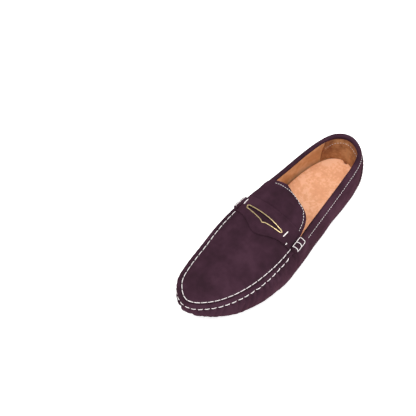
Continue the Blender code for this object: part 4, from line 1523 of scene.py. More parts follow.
# ---- the strap
@dataclass
class Strap:
    """The saddle strap with its slot, and the rolls that hold its ends."""

    last: Last
    finishes: Finishes
    rear: float = -2.5
    front: float = -26.0
    wing: float = 11.5
    ride: float = 1.2
    thickness: float = 1.9
    ends: Pair = (0.03, 0.963)
    edge_radius: float = 1.3
    edge_drop: float = 0.6
    slot_blunt: float = 1.6
    slot_wall: float = 1.35
    trim_line: float = 0.85
    trim_half: Pair = (0.62, 0.55)
    roll_start: float = 5.7
    roll_run: float = 0.56
    roll_half: float = 4.1
    roll_height: float = 4.3
    bindings: tuple[float, float, float] = (0.14, 0.5, 0.86)
    bar_radius: float = 0.37
    tack_lift: float = 2.0
    corner_tack: tuple[float, float, float] = (35.0, -24.2, -21.0)
    # x, rear edge and front edge of the slot's frame, from its blunt inner end to its narrow outer end
    slot: tuple[tuple[float, float, float], ...] = (
        (-27.0, -13.4, -19.0),
        (-16.0, -13.5, -20.6),
        (-7.0, -13.7, -22.2),
        (-2.5, -13.9, -23.2),
        (0.7, -14.0, -24.9),
        (3.6, -14.2, -23.0),
        (12.0, -15.0, -21.9),
        (24.5, -16.8, -20.6),
    )

    def front_line(self, w: Grid) -> Grid:
        """The strap's front edge: straight at the ends, swelling to a rounded wing in the middle."""
        return self.front - self.wing * bell(w - 0.47, 0.22)

    def slot_line(self, inset: float, count: int = 90) -> Grid:
        """An outline inside the edge of the slot's frame, in plan.

        Args:
            inset: Distance inside the frame's outer edge.
            count: Points along each long edge.

        Returns:
            Points of (x, y), going round once.
        """
        at, rear, front = np.array(self.slot).T
        first, last = at[0] + inset, at[-1] - inset
        x = (first + last) / 2 - (last - first) / 2 * np.cos(np.linspace(0, math.pi, count))
        blunt = np.minimum(x - first, last - x) / self.slot_blunt
        taper = rounded(blunt)
        high, low = np.interp(x, at, rear) - inset, np.interp(x, at, front) + inset
        high, low = (np.convolve(np.pad(line, 1, mode="edge"), (0.25, 0.5, 0.25), "valid") for line in (high, low))
        middle = (high + low) / 2
        rear_line = np.stack([x, middle + (high - middle) * taper], -1)
        front_line = np.stack([x, middle + (low - middle) * taper], -1)[::-1][1:-1]
        return np.concatenate([rear_line, front_line])

    def on_strap(self, plan: Grid, lift: float) -> Grid:
        """Plan points laid on the arched instep at a height above the smooth apron.

        Args:
            plan: Points of (x, y).
            lift: Height above the apron.

        Returns:
            Points on the raised surface.
        """
        x, y = np.asarray(plan).T
        inner, outer = self.last.apron_at(0.0, y)[..., 0], self.last.apron_at(1.0, y)[..., 0]
        return self.last.apron_lift((x - inner) / (outer - inner), y, lift)

    def build_strap(self) -> Piece:
        """The strap itself, with rounded edges and the slot cut through.

        Returns:
            The dressed piece.
        """
        w, share = grid_of(np.linspace(*self.ends, 150), np.linspace(0, 1, 46))
        front = self.front_line(w)
        y = front * (1 - share) + self.rear * share
        edge = np.minimum((y - front) * 0.93, self.rear - y)
        edge = np.minimum(edge, np.minimum(w - self.ends[0], self.ends[1] - w) * 78)
        round_ = self.edge_drop * (1 - rounded(edge / self.edge_radius))
        swell = 0.25 * ease(1.5, 8, edge)
        drop = 1 - ease(self.ends[0], 0.11, w) + ease(0.885, self.ends[1], w)
        top = self.last.apron_lift(w, y, self.ride + self.thickness - round_ + swell - drop)
        under = self.last.apron_lift(w, y, self.ride - drop)
        obj = make_skin("penny_strap", top, under, self.last)
        plan = self.slot_line(self.slot_wall)
        wall = np.stack([np.column_stack([plan, np.full(len(plan), z)]) for z in (50.0, 95.0)])
        obj = cut(obj, make_loft("slot_cutter", wall, self.last))
        return dress(obj, self.finishes.nubuck, ["penny_strap"])

    def build_trim(self) -> Piece:
        """The cast metal frame round the slot: low, rounded on top.

        Returns:
            The dressed piece.
        """
        plan = self.slot_line(self.trim_line)
        lay = self.on_strap(plan, self.ride + self.thickness + 0.2)
        way = unit(np.roll(lay, -1, 0) - np.roll(lay, 1, 0))
        up = unit(self.on_strap(plan, self.ride + self.thickness + 1.2) - lay)
        side = unit(np.cross(way, up))
        turn = np.linspace(0, 2 * math.pi, 12, endpoint=False)
        wide, high = self.trim_half
        ring = side[:, None] * (wide * np.cos(turn))[None, :, None]
        ring = ring + up[:, None] * (high * np.sin(turn))[None, :, None]
        obj = make_loft("slot_trim", lay[:, None] + ring, self.last, True)
        return dress(obj, self.finishes.metal, ["slot_trim"], 60)

    def roll_frame(self, side: Side, share: Grid) -> tuple[Grid, Grid, Grid]:
        """Centre line, upward normal and outward direction of a roll.

        Args:
            side: Which side of the foot.
            share: 0 at its rear end, 1 at its front end.

        Returns:
            Points, normals and directions across the roll.
        """
        k = self.roll_start + self.roll_run * np.asarray(share)
        k = k if side is Side.OUTER else self.last.stations - k
        steep, rise, lower = (1.6, 1.5, 0.0) if side is Side.OUTER else (0.15, 1.0, 1.8)
        up = unit(np.concatenate([self.last.outward(k), np.full(k.shape + (1,), steep)], -1))
        centre = self.last.rim(k) + up * rise - (0.0, 0.0, lower)
        way = unit(np.gradient(centre, axis=0))
        across = unit(np.cross(way, up))
        across = across * np.sign((across[..., :2] * self.last.outward(k)).sum(-1))[..., None]
        return centre + across * 0.6, up, across

    def roll_size(self, share: Grid) -> Row:
        """Half width and height of a roll, drawn in at its three bindings and rounded at its ends.

        Args:
            share: 0 at the rear end of the roll, 1 at its front end.

        Returns:
            Half widths and heights.
        """
        rear, middle, front = self.bindings
        humps = 0.55 * (bell(share - rear, 0.05) + bell(share - front, 0.05)) + 0.75 * bell(share - middle, 0.055)
        ends = np.sqrt(np.clip(1 - np.abs(2 * share - 1) ** 7, 0.0, 1))
        return self.roll_half * (0.35 + 0.65 * ends) - 0.25 * humps, (self.roll_height - humps) * (0.3 + 0.7 * ends)

    def build_roll(self, side: Side) -> Piece:
        """One gathered roll of leather.

        Args:
            side: Which side of the foot.

        Returns:
            The dressed piece.
        """
        share = np.linspace(0, 1, 60)
        centre, up, across = self.roll_frame(side, share)
        wide, high = self.roll_size(share)
        turn = np.linspace(0, 2 * math.pi, 28, endpoint=False)
        x = np.sign(np.cos(turn)) * np.abs(np.cos(turn)) ** 0.8
        z = np.where(np.sin(turn) > 0, np.abs(np.sin(turn)) ** 0.9, -0.5 * np.abs(np.sin(turn)))
        ring = across[:, None] * (wide[:, None] * x)[..., None] + up[:, None] * (high[:, None] * z)[..., None]
        name = f"strap_roll_{side.name.lower()}"
        return dress(make_loft(name, centre[:, None] + ring, self.last), self.finishes.nubuck, [name], 60)

    def build_comb(self, side: Side, roll: Piece) -> Piece:
        """The thread that binds a roll: a line along each flank and three bars over it.

        Args:
            side: Which side of the foot.
            roll: The finished roll.

        Returns:
            The dressed piece.
        """
        skin = Surface([roll], self.last)
        share = np.linspace(0, 1, 101)
        centre, up, across = self.roll_frame(side, share)
        lines = []
        for at in self.bindings:
            i = int(round(at * 100))
            turn = np.linspace(-1.25, 1.25, 21)[:, None]
            lines.append(centre[i] + across[i] * 4.3 * np.sin(turn) + up[i] * 5.0 * np.cos(turn))
        for flank in (-1.12, 1.12):
            span = slice(14, 87)
            lines.append(centre[span] + across[span] * 4.5 * math.sin(flank) + up[span] * 5.0 * math.cos(flank))
        tubes = []
        for number, line in enumerate(lines):
            path, _ = skin.cling(line, 0.4, 3)
            tubes.append(make_tube(f"bar_{number}", path, self.bar_radius, self.last))
        name = side.name.lower()
        nodes = [f"roll_thread_{name}_1", f"roll_thread_{name}_2"]
        return dress(join(f"roll_binding_{name}", tubes), self.finishes.thread, nodes, 60)

    def tack_row(self, skin: Surface, x: float, rear: float, front: float, count: int = 30, off: float = 0.2) -> Row:
        """A short straight row on the strap, along the shoe.

        Args:
            skin: The strap's surface.
            x: Place of the row across the shoe.
            rear: y of its first point.
            front: y of its last point.
            count: Number of points.
            off: Height above the strap.

        Returns:
            Points and unit normals.
        """
        plan = np.stack([np.full(count, x), np.linspace(rear, front, count)], -1)
        return skin.cling(self.on_strap(plan, self.ride + self.thickness + self.tack_lift), off, 3)


# ---- the heel
@dataclass
class HeelPatch:
    """The tab up the back of the heel and the ribbed rubber guard in its window."""

    last: Last
    finishes: Finishes
    top: float = 0.19
    foot: float = 0.93
    guard_top: float = 0.37
    guard_foot: float = 0.86
    gap: float = 0.5
    thickness: float = 1.2
    guard_depth: float = 3.2
    tab_halves: Pair = (1.2, 1.9)
    hole_halves: Pair = (0.66, 1.36)
    guard_halves: Pair = (0.6, 1.3)
    heavy_halves: Pair = (1.09, 1.78)
    fine_halves: Pair = (0.72, 1.46)
    hole_margin: float = 0.015

    def patch(
        self, name: str, span: Pair, halves: Pair, depths: Pair, rows: int = 2, columns: int = 2,
        crown: Callable[[Grid, Grid], Grid] | None = None,
    ) -> Piece:
        """A trapezoid patch on the back of the heel.

        Args:
            name: Name of the piece.
            span: Wall parameter of its top and its foot.
            halves: Half widths at the top and the foot, in stations.
            depths: Distances of its outer and inner faces behind the wall; below 0 is outside.
            rows: Rows down the patch.
            columns: Columns across it.
            crown: Height added to the outer face, from (down, across) in 0..1 and -1..1.

        Returns:
            The solid.
        """
        down, across = grid_of(np.linspace(0, 1, rows), np.linspace(-1, 1, columns))
        v = span[0] + (span[1] - span[0]) * down
        k = across * (halves[0] + (halves[1] - halves[0]) * down**0.8)
        extra = crown(down, across) if crown else 0 * down
        return make_skin(
            name, self.last.layer(k, v, depths[0] - extra), self.last.layer(k, v, depths[1] + 0 * k), self.last
        )

    def build_tab(self) -> Piece:
        """The leather tab, its edges rolled down.

        Returns:
            The dressed piece.
        """

        def crown(down: Grid, across: Grid) -> Grid:
            """Height of the tab's face, rolled down at its edges.

            Args:
                down: 0 at the top, 1 at the foot.
                across: -1 to 1 across the tab.

            Returns:
                Height added to the face.
            """
            half = 20 + 15 * down
            edge = np.minimum(np.minimum(down, 1 - down) * 48, (1 - np.abs(across)) * half)
            return -0.5 * (1 - ease(0, 1.2, edge)) + 0.2 * ease(2, 6, edge)

        depths = (-self.gap - self.thickness, -self.gap)
        tab = self.patch("heel_tab", (self.top, self.foot), self.tab_halves, depths, 70, 90, crown)
        span = (self.guard_top - self.hole_margin, self.guard_foot + self.hole_margin)
        hole = self.patch("guard_hole", span, self.hole_halves, (-8.0, 2.0), 40, 40)
        return dress(cut(tab, hole), self.finishes.nubuck, ["heel_tab"])

    def build_guard(self) -> Piece:
        """The rubber guard: a rounded pad with wavy ribs across.

        Returns:
            The dressed piece.
        """

        def crown(down: Grid, across: Grid) -> Grid:
            """Height of the guard's face between its wavy grooves.

            Args:
                down: 0 at the top, 1 at the foot.
                across: -1 to 1 across the guard.

            Returns:
                Height added to the face.
            """
            half = 12 + 14 * down
            edge = np.minimum(np.minimum(down, 1 - down) * 35, (1 - np.abs(across)) * half)
            wave = down * 35 + 1.6 * np.sin(across * half / 2.6)
            groove = ease(0.62, 0.8, np.abs((wave / 7.6 + 0.2) % 1 - 0.5) * 2) * ease(1.0, 2.4, edge)
            return -2.0 * (1 - ease(0, 2.2, edge)) - 1.9 * groove

        span, depths = (self.guard_top, self.guard_foot), (-0.3 - self.guard_depth, -0.2)
        made = self.patch("heel_guard", span, self.guard_halves, depths, 110, 120, crown)
        return dress(made, self.finishes.rubber, ["heel_guard"])

    def stitch_rows(self, skin: Surface) -> tuple[list[Row], list[Row]]:
        """The heavy rows down the tab's edges and over its top, and the fine row round the guard.

        Args:
            skin: The tab's surface.

        Returns:
            The heavy rows, then the fine rows.
        """

        def outline(top: float, foot: float, halves: Pair, open_foot: bool) -> Grid:
            """A line round the patch, open or closed at its foot.

            Args:
                top: Wall parameter of its top.
                foot: Wall parameter of its foot.
                halves: Half widths at top and foot, in stations.
                open_foot: Whether it is left open at the foot.

            Returns:
                Points outside the tab.
            """
            half_top, half_foot = halves
            down = np.linspace(1, 0, 90)
            k = half_top + (half_foot - half_top) * down**0.8
            v = top + (foot - top) * down
            lid = np.linspace(half_top, -half_top, 24)[1:-1]
            ks, vs = np.concatenate([k, lid, -k[::-1]]), np.concatenate([v, np.full(22, top), v[::-1]])
            if not open_foot:
                base = np.linspace(-k[0], k[0], 60)[1:]
                ks, vs = np.concatenate([ks, base]), np.concatenate([vs, np.full(59, v[0])])
            return self.last.layer(ks, vs, np.full(len(ks), -5.5))

        heavy = skin.cling(outline(self.top + 0.03, self.foot - 0.05, self.heavy_halves, True), 0.35, 2)
        fine = skin.cling(outline(self.guard_top - 0.04, self.guard_foot + 0.035, self.fine_halves, False), 0.1, 2)
        return [heavy], [fine]


# ---- the sole
@dataclass
class Sole:
    """The rubber units in the leather bottom, their windows and the tread cut into them."""

    last: Last
    finishes: Finishes
    forefoot: Pair = (-128.0, -21.0)
    shank: Pair = (-14.0, 27.0)
    heel: Pair = (34.0, 121.0)
    rib: float = 4.0
    leather: float = 1.6
    groove: float = 4.2
    groove_width: float = 2.9
    lug_round: float = 1.1
    lug_edge: float = 1.6
    pad_round: float = 3.0
    fit: float = 0.4
    flange: Pair = (1.6, 2.2)
    flange_height: float = 1.3
    inset_forefoot: float = 2.5
    inset_heel: float = 3.5
    inset_shank: float = 4.0
    stitch_gap: float = 1.8

    def forefoot_edges(self, y: Grid, grow: float) -> Grid:
        """Inner and outer x of the forefoot window; its rear corners are cut off.

        Args:
            y: Lengths along the shoe.
            grow: Distance by which the window is enlarged.

        Returns:
            Inner x and outer x.
        """
        front, rear = self.forefoot
        full = np.stack([self.last.side_x(y, side, grow - self.inset_forefoot) for side in (Side.INNER, Side.OUTER)])
        share = np.clip((y - (rear - 20)) / 20, 0, 1)
        narrow = np.stack([full[0] + 18 * share**1.2, full[1] - 20 * share**1.2])
        tip = np.clip((y - front) / 6, 0, 1)
        middle = (narrow[0] + narrow[1]) / 2
        return middle + (narrow - middle) * (0.72 + 0.28 * tip)

    def heel_edges(self, y: Grid, grow: float) -> Grid:
        """Inner and outer x of the heel window; cut corners in front and a round back.

        Args:
            y: Lengths along the shoe.
            grow: Distance by which the window is enlarged.

        Returns:
            Inner x and outer x.
        """
        front, rear = self.heel
        full = np.stack([self.last.side_x(y, side, grow - self.inset_heel) for side in (Side.INNER, Side.OUTER)])
        middle = (full[0] + full[1]) / 2
        corner = 0.55 + 0.45 * np.clip((y - front) / 11, 0, 1)
        back = np.sqrt(np.clip(1 - np.clip((y - (rear - 14)) / 16, 0, 1) ** 2, 0, 1))
        return middle + (full - middle) * corner * back

    def shank_edges(self, y: Grid, side: Side, grow: float) -> Grid:
        """Inner and outer x of one shank window, a trapezoid beside the leather rib.

        Args:
            y: Lengths along the shoe.
            side: Which side of the foot.
            grow: Distance by which the window is enlarged.

        Returns:
            Inner x and outer x.
        """
        front, rear = self.shank
        share = np.clip((np.asarray(y, float) - front) / (rear - front), 0, 1)
        rib = self.rib + 5 * (2 * share - 1) ** 2
        if side is Side.OUTER:
            return np.stack([rib - grow, self.last.side_x(y, Side.OUTER, grow - self.inset_shank)])
        return np.stack([self.last.side_x(y, Side.INNER, grow - self.inset_shank), grow - rib])

    def windows(self) -> dict[str, tuple[Pair, Callable[[Grid, float], Grid]]]:
        """Each window's front and rear and the function of its edges.

        Returns:
            A span and an edge function for each name.
        """
        return {
            "forefoot": (self.forefoot, self.forefoot_edges),
            "heel": (self.heel, self.heel_edges),
            "shank_outer": (self.shank, lambda y, grow: self.shank_edges(y, Side.OUTER, grow)),
            "shank_inner": (self.shank, lambda y, grow: self.shank_edges(y, Side.INNER, grow)),
        }

    def cutters(self) -> list[Piece]:
        """Solids that open the windows in the leather.

        Returns:
            One solid for each window.
        """
        made = []
        for name, (span, edges) in self.windows().items():
            y = (span[0] + span[1]) / 2 - (span[1] - span[0]) / 2 * np.cos(np.linspace(0, math.pi, 70))
            low, high = edges(y, 0.0)
            line = np.concatenate([np.stack([low, y], -1), np.stack([high, y], -1)[::-1]])
            walls = [
                np.column_stack([line, z]) for z in (np.full(len(line), -3.0), self.last.bottom(line[:, 1]) + 4.5)
            ]
            made.append(make_loft(f"{name}_cutter", np.stack(walls), self.last))
        return made

    def forefoot_grooves(self) -> list[Grid]:
        """Centre lines of the forefoot tread: S-shaped breaks in a row of edge blocks, and a stepped middle.

        Returns:
            Lines of (x, y).
        """
        lines = []
        y = np.linspace(-124, -26, 120)
        low, high = self.forefoot_edges(y, 0.0)
        wide = high - low
        wander = 2.6 * np.sin(y / 5.4) + 1.2 * np.sin(y / 2.9 + 1)
        lines.append(np.stack([high - 0.27 * wide + wander, y], -1))
        lines.append(np.stack([low + 0.25 * wide - 2.2 * np.sin(y / 5.1 + 0.7), y], -1))
        zigzag = 2 * np.abs(((y / 17.0) % 1) - 0.5) - 0.5
        lines.append(np.stack([low + 0.5 * wide + 15 * zigzag, y], -1))
        for i, at in enumerate((-113.0, -95.5, -78.0, -60.5, -43.5)):
            t = np.linspace(0, 1, 40)
            right = np.interp(at, y, high) + 4
            inner = np.interp(at, y, high - 0.27 * wide)
            x = inner + (right - inner) * t
            lines.append(np.stack([x, at + 5.2 * np.tanh(3.2 * np.sin(2.1 * math.pi * (t - 0.12))) + 6 * t], -1))
            left, outer = np.interp(at, y, low) - 4, np.interp(at, y, low + 0.25 * wide)
            x = left + (outer - left) * t
            lines.append(np.stack([x, at + 7.0 + (2.5 if i % 2 else -2.5) * np.sin(math.pi * t) - 6 * (1 - t)], -1))
            mid = np.interp(at, y, low + 0.5 * wide)
            x = np.linspace(mid - 9, mid + 10, 30)
            lines.append(np.stack([x, at + 3 + 3.0 * np.tanh(np.sin((x - mid) / 4.2) * 2.5)], -1))
        return lines

    def heel_grooves(self) -> list[Grid]:
        """Centre lines of the heel tread: rounded blocks parted by curved breaks.

        Returns:
            Lines of (x, y).
        """
        lines = []
        y = np.linspace(38, 118, 100)
        low, high = self.heel_edges(y, 0.0)
        wide = np.maximum(high - low, 8)
        lines.append(np.stack([high - 0.36 * wide + 2.6 * np.sin(y / 4.6), y], -1))
        lines.append(np.stack([low + 0.3 * wide - 2.2 * np.sin(y / 4.9 + 1), y], -1))
        for i, at in enumerate((52.0, 69.0, 86.0, 102.0)):
            t = np.linspace(0, 1, 40)
            edge, inner = np.interp(at, y, high) + 4, np.interp(at, y, high - 0.36 * wide)
            x = inner + (edge - inner) * t
            lines.append(np.stack([x, at + 5.0 * np.sin(math.pi * t) + 4.0 * np.tanh(3 * (t - 0.5))], -1))
            edge, inner = np.interp(at, y, low) - 4, np.interp(at, y, low + 0.3 * wide)
            x = edge + (inner - edge) * t
            lines.append(np.stack([x, at + 4.0 - 4.5 * np.sin(math.pi * t)], -1))
            left, right = np.interp(at, y, low + 0.3 * wide), np.interp(at, y, high - 0.36 * wide)
            x = left + (right - left) * t
            lines.append(np.stack([x, at - 4.0 + 3.6 * np.tanh(3 * np.sin(2 * math.pi * t + i))], -1))
        return lines

    def tread(self, name: str, node: str, grooves: list[Grid], step: float = 0.62) -> Piece:
        """A rubber unit: flange under the leather, body through the window, lugs with grooves between.

        Args:
            name: Name of its window.
            node: CAD node that it stands for.
            grooves: Centre lines of the grooves in plan.
            step: Distance between mesh points.

        Returns:
            The dressed piece.
        """
        span, edges = self.windows()[name]
        front, rear = span[0] + self.fit, span[1] - self.fit
        y = np.linspace(front, rear, int((rear - front) / step))
        low, high = edges(y, -self.fit)
        c = np.linspace(0, 1, int((high - low).max() / step))
        x = low[:, None] + (high - low)[:, None] * c
        yy = np.repeat(y[:, None], len(c), 1)
        flat = np.stack([x, yy], -1).reshape(-1, 2)
        segments = [np.stack([line[:-1], line[1:]], 1) for line in grooves]
        near = np.full(len(flat), 99.0)
        for a, b in np.concatenate(segments):
            way = b - a
            t = np.clip(((flat - a) @ way) / max(way @ way, 1e-9), 0, 1)
            near = np.minimum(near, np.hypot(*(flat - a - t[:, None] * way).T))
        near = near.reshape(x.shape)
        rim = np.minimum(np.minimum(x - low[:, None], high[:, None] - x), np.minimum(yy - front, rear - yy))
        deep = self.groove * (1 - ease(self.groove_width / 2 - 0.45, self.groove_width / 2 + 0.45, near))
        soft = 0.55 * (1 - ease(0, 1.1, near - self.groove_width / 2)) * (deep < 0.2)
        deep = np.maximum(deep, soft) + self.lug_round * (1 - rounded(rim / self.lug_edge))
        base = self.last.bottom(yy)
        ground = base - self.last.base + deep
        return self.unit_piece(node, x, yy, ground)

    def unit_piece(self, node: str, x: Grid, y: Grid, under: Grid) -> Piece:
        """Closes a shaped under face with its side walls, flange and top.

        Args:
            node: Name of the piece and its CAD node.
            x: Plan positions across.
            y: Plan positions along.
            under: Height of the under face.

        Returns:
            The dressed piece.
        """
        seat = self.last.bottom(y) + self.leather + 0.3
        pad = np.pad(np.stack([x, y, under], -1), ((2, 2), (2, 2), (0, 0)), mode="edge")
        pad[[1, -2]] = pad[[2, -3]]
        seat = np.pad(seat, 2, mode="edge")
        for ring in (1, 0):
            pad[ring, :, 2], pad[-1 - ring, :, 2] = seat[ring], seat[-1 - ring]
            pad[:, ring, 2], pad[:, -1 - ring, 2] = seat[:, ring], seat[:, -1 - ring]
        pad[0, :, 1] -= self.flange[0]
        pad[-1, :, 1] += self.flange[0]
        pad[:, 0, 0] -= self.flange[1]
        pad[:, -1, 0] += self.flange[1]
        top = pad.copy()
        top[..., 2] = self.last.bottom(top[..., 1]) + self.leather + self.flange_height
        return dress(make_skin(node, pad, top, self.last), self.finishes.rubber, [node])

    def shank_pad(self, side: Side) -> Piece:
        """A smooth pad with rounded edges beside the rib.

        Args:
            side: Which side of the foot.

        Returns:
            The dressed piece.
        """
        name = f"shank_{side.name.lower()}"
        span, edges = self.windows()[name]
        y = np.linspace(span[0] + self.fit, span[1] - self.fit, 60)
        low, high = edges(y, -self.fit)
        x = low[:, None] + (high - low)[:, None] * np.linspace(0, 1, 46)
        yy = np.repeat(y[:, None], 46, 1)
        rim = np.minimum(np.minimum(x - low[:, None], high[:, None] - x), np.minimum(yy - y[0], y[-1] - yy))
        rise = rounded(rim / self.pad_round)
        under = self.last.bottom(yy) + 0.6 - self.pad_round * rise - 0.5 * ease(2, 12, rim)
        return self.unit_piece(f"shank_pad_{side.name.lower()}", x, yy, under)

    def window_rows(self, bottom: Surface, name: str) -> Row:
        """The stitch line round one window, on the leather.

        Args:
            bottom: The leather's surface.
            name: Name of the window.

        Returns:
            Points and unit normals.
        """
        span, edges = self.windows()[name]
        y = (span[0] + span[1]) / 2 - (
            span[1] - span[0] + 2 * self.stitch_gap
        ) / 2 * np.cos(np.linspace(0, math.pi, 90))
        low, high = edges(y, self.stitch_gap)
        plan = np.concatenate([np.stack([low, y], -1), np.stack([high, y], -1)[::-1]])
        plan = np.concatenate([plan, plan[:1]])
        line = np.column_stack([plan, self.last.bottom(plan[:, 1]) - 1.5])
        gone = lengths(line)
        at = np.arange(0, gone[-1], 0.8)
        line = np.stack([np.interp(at, gone, line[:, i]) for i in range(3)], -1)
        return bottom.cling(line, 0.1, 3)


# ---- the footbed
@dataclass
class Footbed:
    """The padded sock that the foot rests on, over its hidden foam and board."""

    last: Last
    finishes: Finishes
    out: float = 0.4
    low: float = 8.3
    high: float = 10.2
    heel_pad: float = 3.5
    edge_radius: float = 2.0
    edge_drop: float = 1.8
    cup: float = 1.2
    heel_cup: float = 2.2

    def build(self) -> Piece:
        """The pigskin sock: soft at its edge, hollowed where the foot presses.

        Returns:
            The dressed piece.
        """
        last = self.last
        front = last.feather(np.array(float(last.toe)), self.out)[1] + 1.0
        rear = last.feather(np.array(0.0), self.out)[1] - 0.3
        y = (front + rear) / 2 - (rear - front) / 2 * np.cos(np.linspace(0.02, math.pi - 0.02, 240))
        low, high = last.side_x(y, Side.INNER, self.out), last.side_x(y, Side.OUTER, self.out)
        c = 0.5 - 0.5 * np.cos(np.linspace(0, math.pi, 90))
        x = low[:, None] + (high - low)[:, None] * c
        yy = np.repeat(y[:, None], len(c), 1)
        rim = np.minimum(np.minimum(x - low[:, None], high[:, None] - x), np.minimum(yy - y[0], y[-1] - yy))
        across = (x - (low + high)[:, None] / 2) / np.maximum((high - low)[:, None] / 2, 1)
        cup = self.heel_cup * across**2 * ease(10, 60, yy) + self.cup * across**2
        cup = cup + self.heel_pad * ease(20, 110, yy)
        roll = self.edge_drop * (1 - rounded(rim / self.edge_radius))
        soft = 0.22 * np.sin(x / 5.3 + yy / 11) * np.sin(yy / 6.7) + 0.15 * np.sin(x / 2.9) * np.sin(yy / 3.7 + x / 9)
        top = last.bottom(yy) + self.high + cup - roll + soft * ease(1, 6, rim)
        under = last.bottom(yy) + self.low + cup * 0.9
        obj = make_skin("footbed_sock", np.stack([x, yy, top], -1), np.stack([x, yy, under], -1), last)
        return dress(obj, self.finishes.sock, ["footbed_sock"], 60)


# ---- the studio
@dataclass
class Studio:
    """A plain pale sweep, soft light from all round and a camera above the toe's outer side."""

    last: Last
    azimuth: float = 42.66
    elevation: float = 56.27
    roll: float = -0.13
    distance: float = 1075.6
    aside: float = 75.81
    above: float = -20.74
    lens: float = 81.14
    aim_height: float = 35.0
    floor_half: float = 3.0
    floor_glow: float = 0.4
    # name, place and size in metres, power in watts
    softboxes: tuple[tuple[str, tuple[float, float, float], float, float], ...] = (
        ("top_softbox", (0.1, 0.0, 1.2), 0.5, 6.5),
        ("rear_side_softbox", (0.8, 0.75, 0.5), 0.3, 6.0),
        ("front_softbox", (0.0, -0.8, 0.8), 0.8, 4.0),
    )

    def build_camera(self) -> None:
        """Sets the camera at its angle, with no shift."""
        around, raised, roll = (math.radians(a) for a in (self.azimuth, self.elevation, self.roll))
        back = np.array([math.sin(around) * math.cos(raised), -math.cos(around) * math.cos(raised), math.sin(raised)])
        right = np.array([math.cos(around), math.sin(around), 0.0])
        up = np.cross(back, right)
        right, up = math.cos(roll) * right + math.sin(roll) * up, math.cos(roll) * up - math.sin(roll) * right
        place = np.array([0, 0, self.aim_height]) + back * self.distance - right * self.aside - up * self.above
        camera = linked("studio_camera", bpy.data.cameras.new("studio_camera"))
        camera.data.lens = self.lens
        camera.data.clip_end = 20
        turn = Matrix(np.stack([right, up, back], -1).tolist()).to_4x4()
        camera.matrix_world = Matrix.Translation(Vector((place - self.last.origin) * MM)) @ turn
        bpy.context.scene.camera = camera

    def build_floor(self) -> None:
        """A wide pale floor under the shoe."""
        mesh = bpy.data.meshes.new("pale_floor")
        mesh.from_pydata(
            [(x * self.floor_half, y * self.floor_half, 0) for x, y in ((-1, -1), (1, -1), (1, 1), (-1, 1))], [],
            [(0, 1, 2, 3)],
        )
        floor = linked("pale_floor", mesh)
        paint = bpy.data.materials.new("matt_white_sweep")
        paint.use_nodes = True
        shader = paint.node_tree.nodes["Principled BSDF"]
        shader.inputs["Base Color"].default_value = (0.92, 0.92, 0.92, 1)
        shader.inputs["Roughness"].default_value = 0.95
        shader.inputs["Specular IOR Level"].default_value = 0.1
        shader.inputs["Emission Color"].default_value = (1, 1, 1, 1)
        shader.inputs["Emission Strength"].default_value = self.floor_glow
        mesh.materials.append(paint)

    def build_lights(self) -> None:
        """An even white surround and three softboxes: above, behind the outer side, and in front."""
        world = bpy.data.worlds.new("white_surround")
        world.use_nodes = True
        world.node_tree.nodes["Background"].inputs["Color"].default_value = (1, 1, 1, 1)
        world.node_tree.nodes["Background"].inputs["Strength"].default_value = 1.0
        bpy.context.scene.world = world
        for name, place, size, power in self.softboxes:
            lamp = bpy.data.lights.new(name, "AREA")
            lamp.size = size
            lamp.energy = power
            obj = linked(name, lamp)
            obj.location = place
            obj.rotation_euler = Vector(place).to_track_quat("Z", "Y").to_euler()
        bpy.context.scene.view_settings.view_transform = "Standard"


# ---- the shoe
def finish_hidden(nodes: dict[str, Piece], finishes: Finishes) -> None:
    """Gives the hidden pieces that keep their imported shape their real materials.

    Args:
        nodes: The frame's objects by node name.
        finishes: The materials.
    """
    hidden = {
        "heel_counter": finishes.board,
        "insole_board": finishes.board,
        "collar_foam": finishes.foam,
        "footbed_foam": finishes.foam,
    }
    for name, finish in hidden.items():
        nodes[name].data.materials.clear()
        nodes[name].data.materials.append(finish)


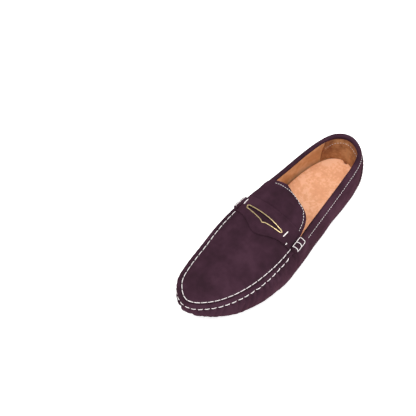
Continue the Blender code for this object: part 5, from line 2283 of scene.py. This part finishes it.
def main(frame: dict[str, Any]) -> None:
    """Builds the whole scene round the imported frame.
    """
    logging.basicConfig(level=logging.INFO, format="%(message)s")
    last = Last()
    studio = Studio(last)
    studio.build_camera()
    studio.build_floor()
    studio.build_lights()
    finishes = Finishes()
    stitches = StitchLayer(last, finishes.thread)

    sole = Sole(last, finishes)
    upper = Upper(last, finishes)
    wall = upper.build_wall(sole.cutters())
    apron = upper.build_apron()
    upper.build_apron_lining()
    patch = upper.build_linings()
    stitches.sew("heel_grip_thread", [upper.grip_row(Surface([patch], last))], MACHINE, ["heel_grip_thread"])
    wall_skin, apron_skin = Surface([wall], last), Surface([apron], last)
    outer_row, inner_row = upper.seam_rows(wall_skin, apron_skin)
    stitches.sew("moc_seam_thread_outer", [outer_row], HAND, ["moc_seam_thread_outer"], 3)
    stitches.sew("moc_seam_thread_inner", [inner_row], LONG_HAND, ["moc_seam_thread_inner"], 5)
    stitches.sew("tongue_thread", [upper.tongue_row(apron_skin)], MACHINE, ["tongue_thread"])

    collar = Collar(last, finishes)
    band = collar.build()
    stitches.sew("collar_thread", [collar.stitch_row(Surface([band], last))], MACHINE, ["collar_thread"])

    strap = Strap(last, finishes)
    saddle = strap.build_strap()
    strap.build_trim()
    saddle_skin = Surface([saddle], last)
    for side, x, rear in ((Side.OUTER, 27.8, -17.4), (Side.INNER, -33.0, -11.6)):
        strap.build_comb(side, strap.build_roll(side))
        name = f"strap_thread_{side.name.lower()}"
        stitches.sew(name, [strap.tack_row(saddle_skin, x, rear + 0.4, rear - 9.4)], TACK, [name])
    stitches.sew("strap_corner_tack", [strap.tack_row(saddle_skin, *strap.corner_tack, 12, 0.15)], DOT, [])

    heel = HeelPatch(last, finishes)
    tab = heel.build_tab()
    heel.build_guard()
    heavy, fine = heel.stitch_rows(Surface([tab], last))
    stitches.sew("heel_tab_thread", heavy, HEAVY, ["heel_tab_thread"], 2)
    stitches.sew("guard_thread", fine, MACHINE, ["guard_thread"])

    sole.tread("forefoot", "forefoot_outsole", sole.forefoot_grooves())
    sole.tread("heel", "heel_outsole", sole.heel_grooves())
    for side in Side:
        sole.shank_pad(side)
    for name in sole.windows():
        stitches.sew(f"{name}_window_thread", [sole.window_rows(wall_skin, name)], MACHINE, [f"{name}_window_thread"])

    Footbed(last, finishes).build()
    finish_hidden(frame["nodes"], finishes)


if __name__ == "__main__":
    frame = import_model()
    main(frame)
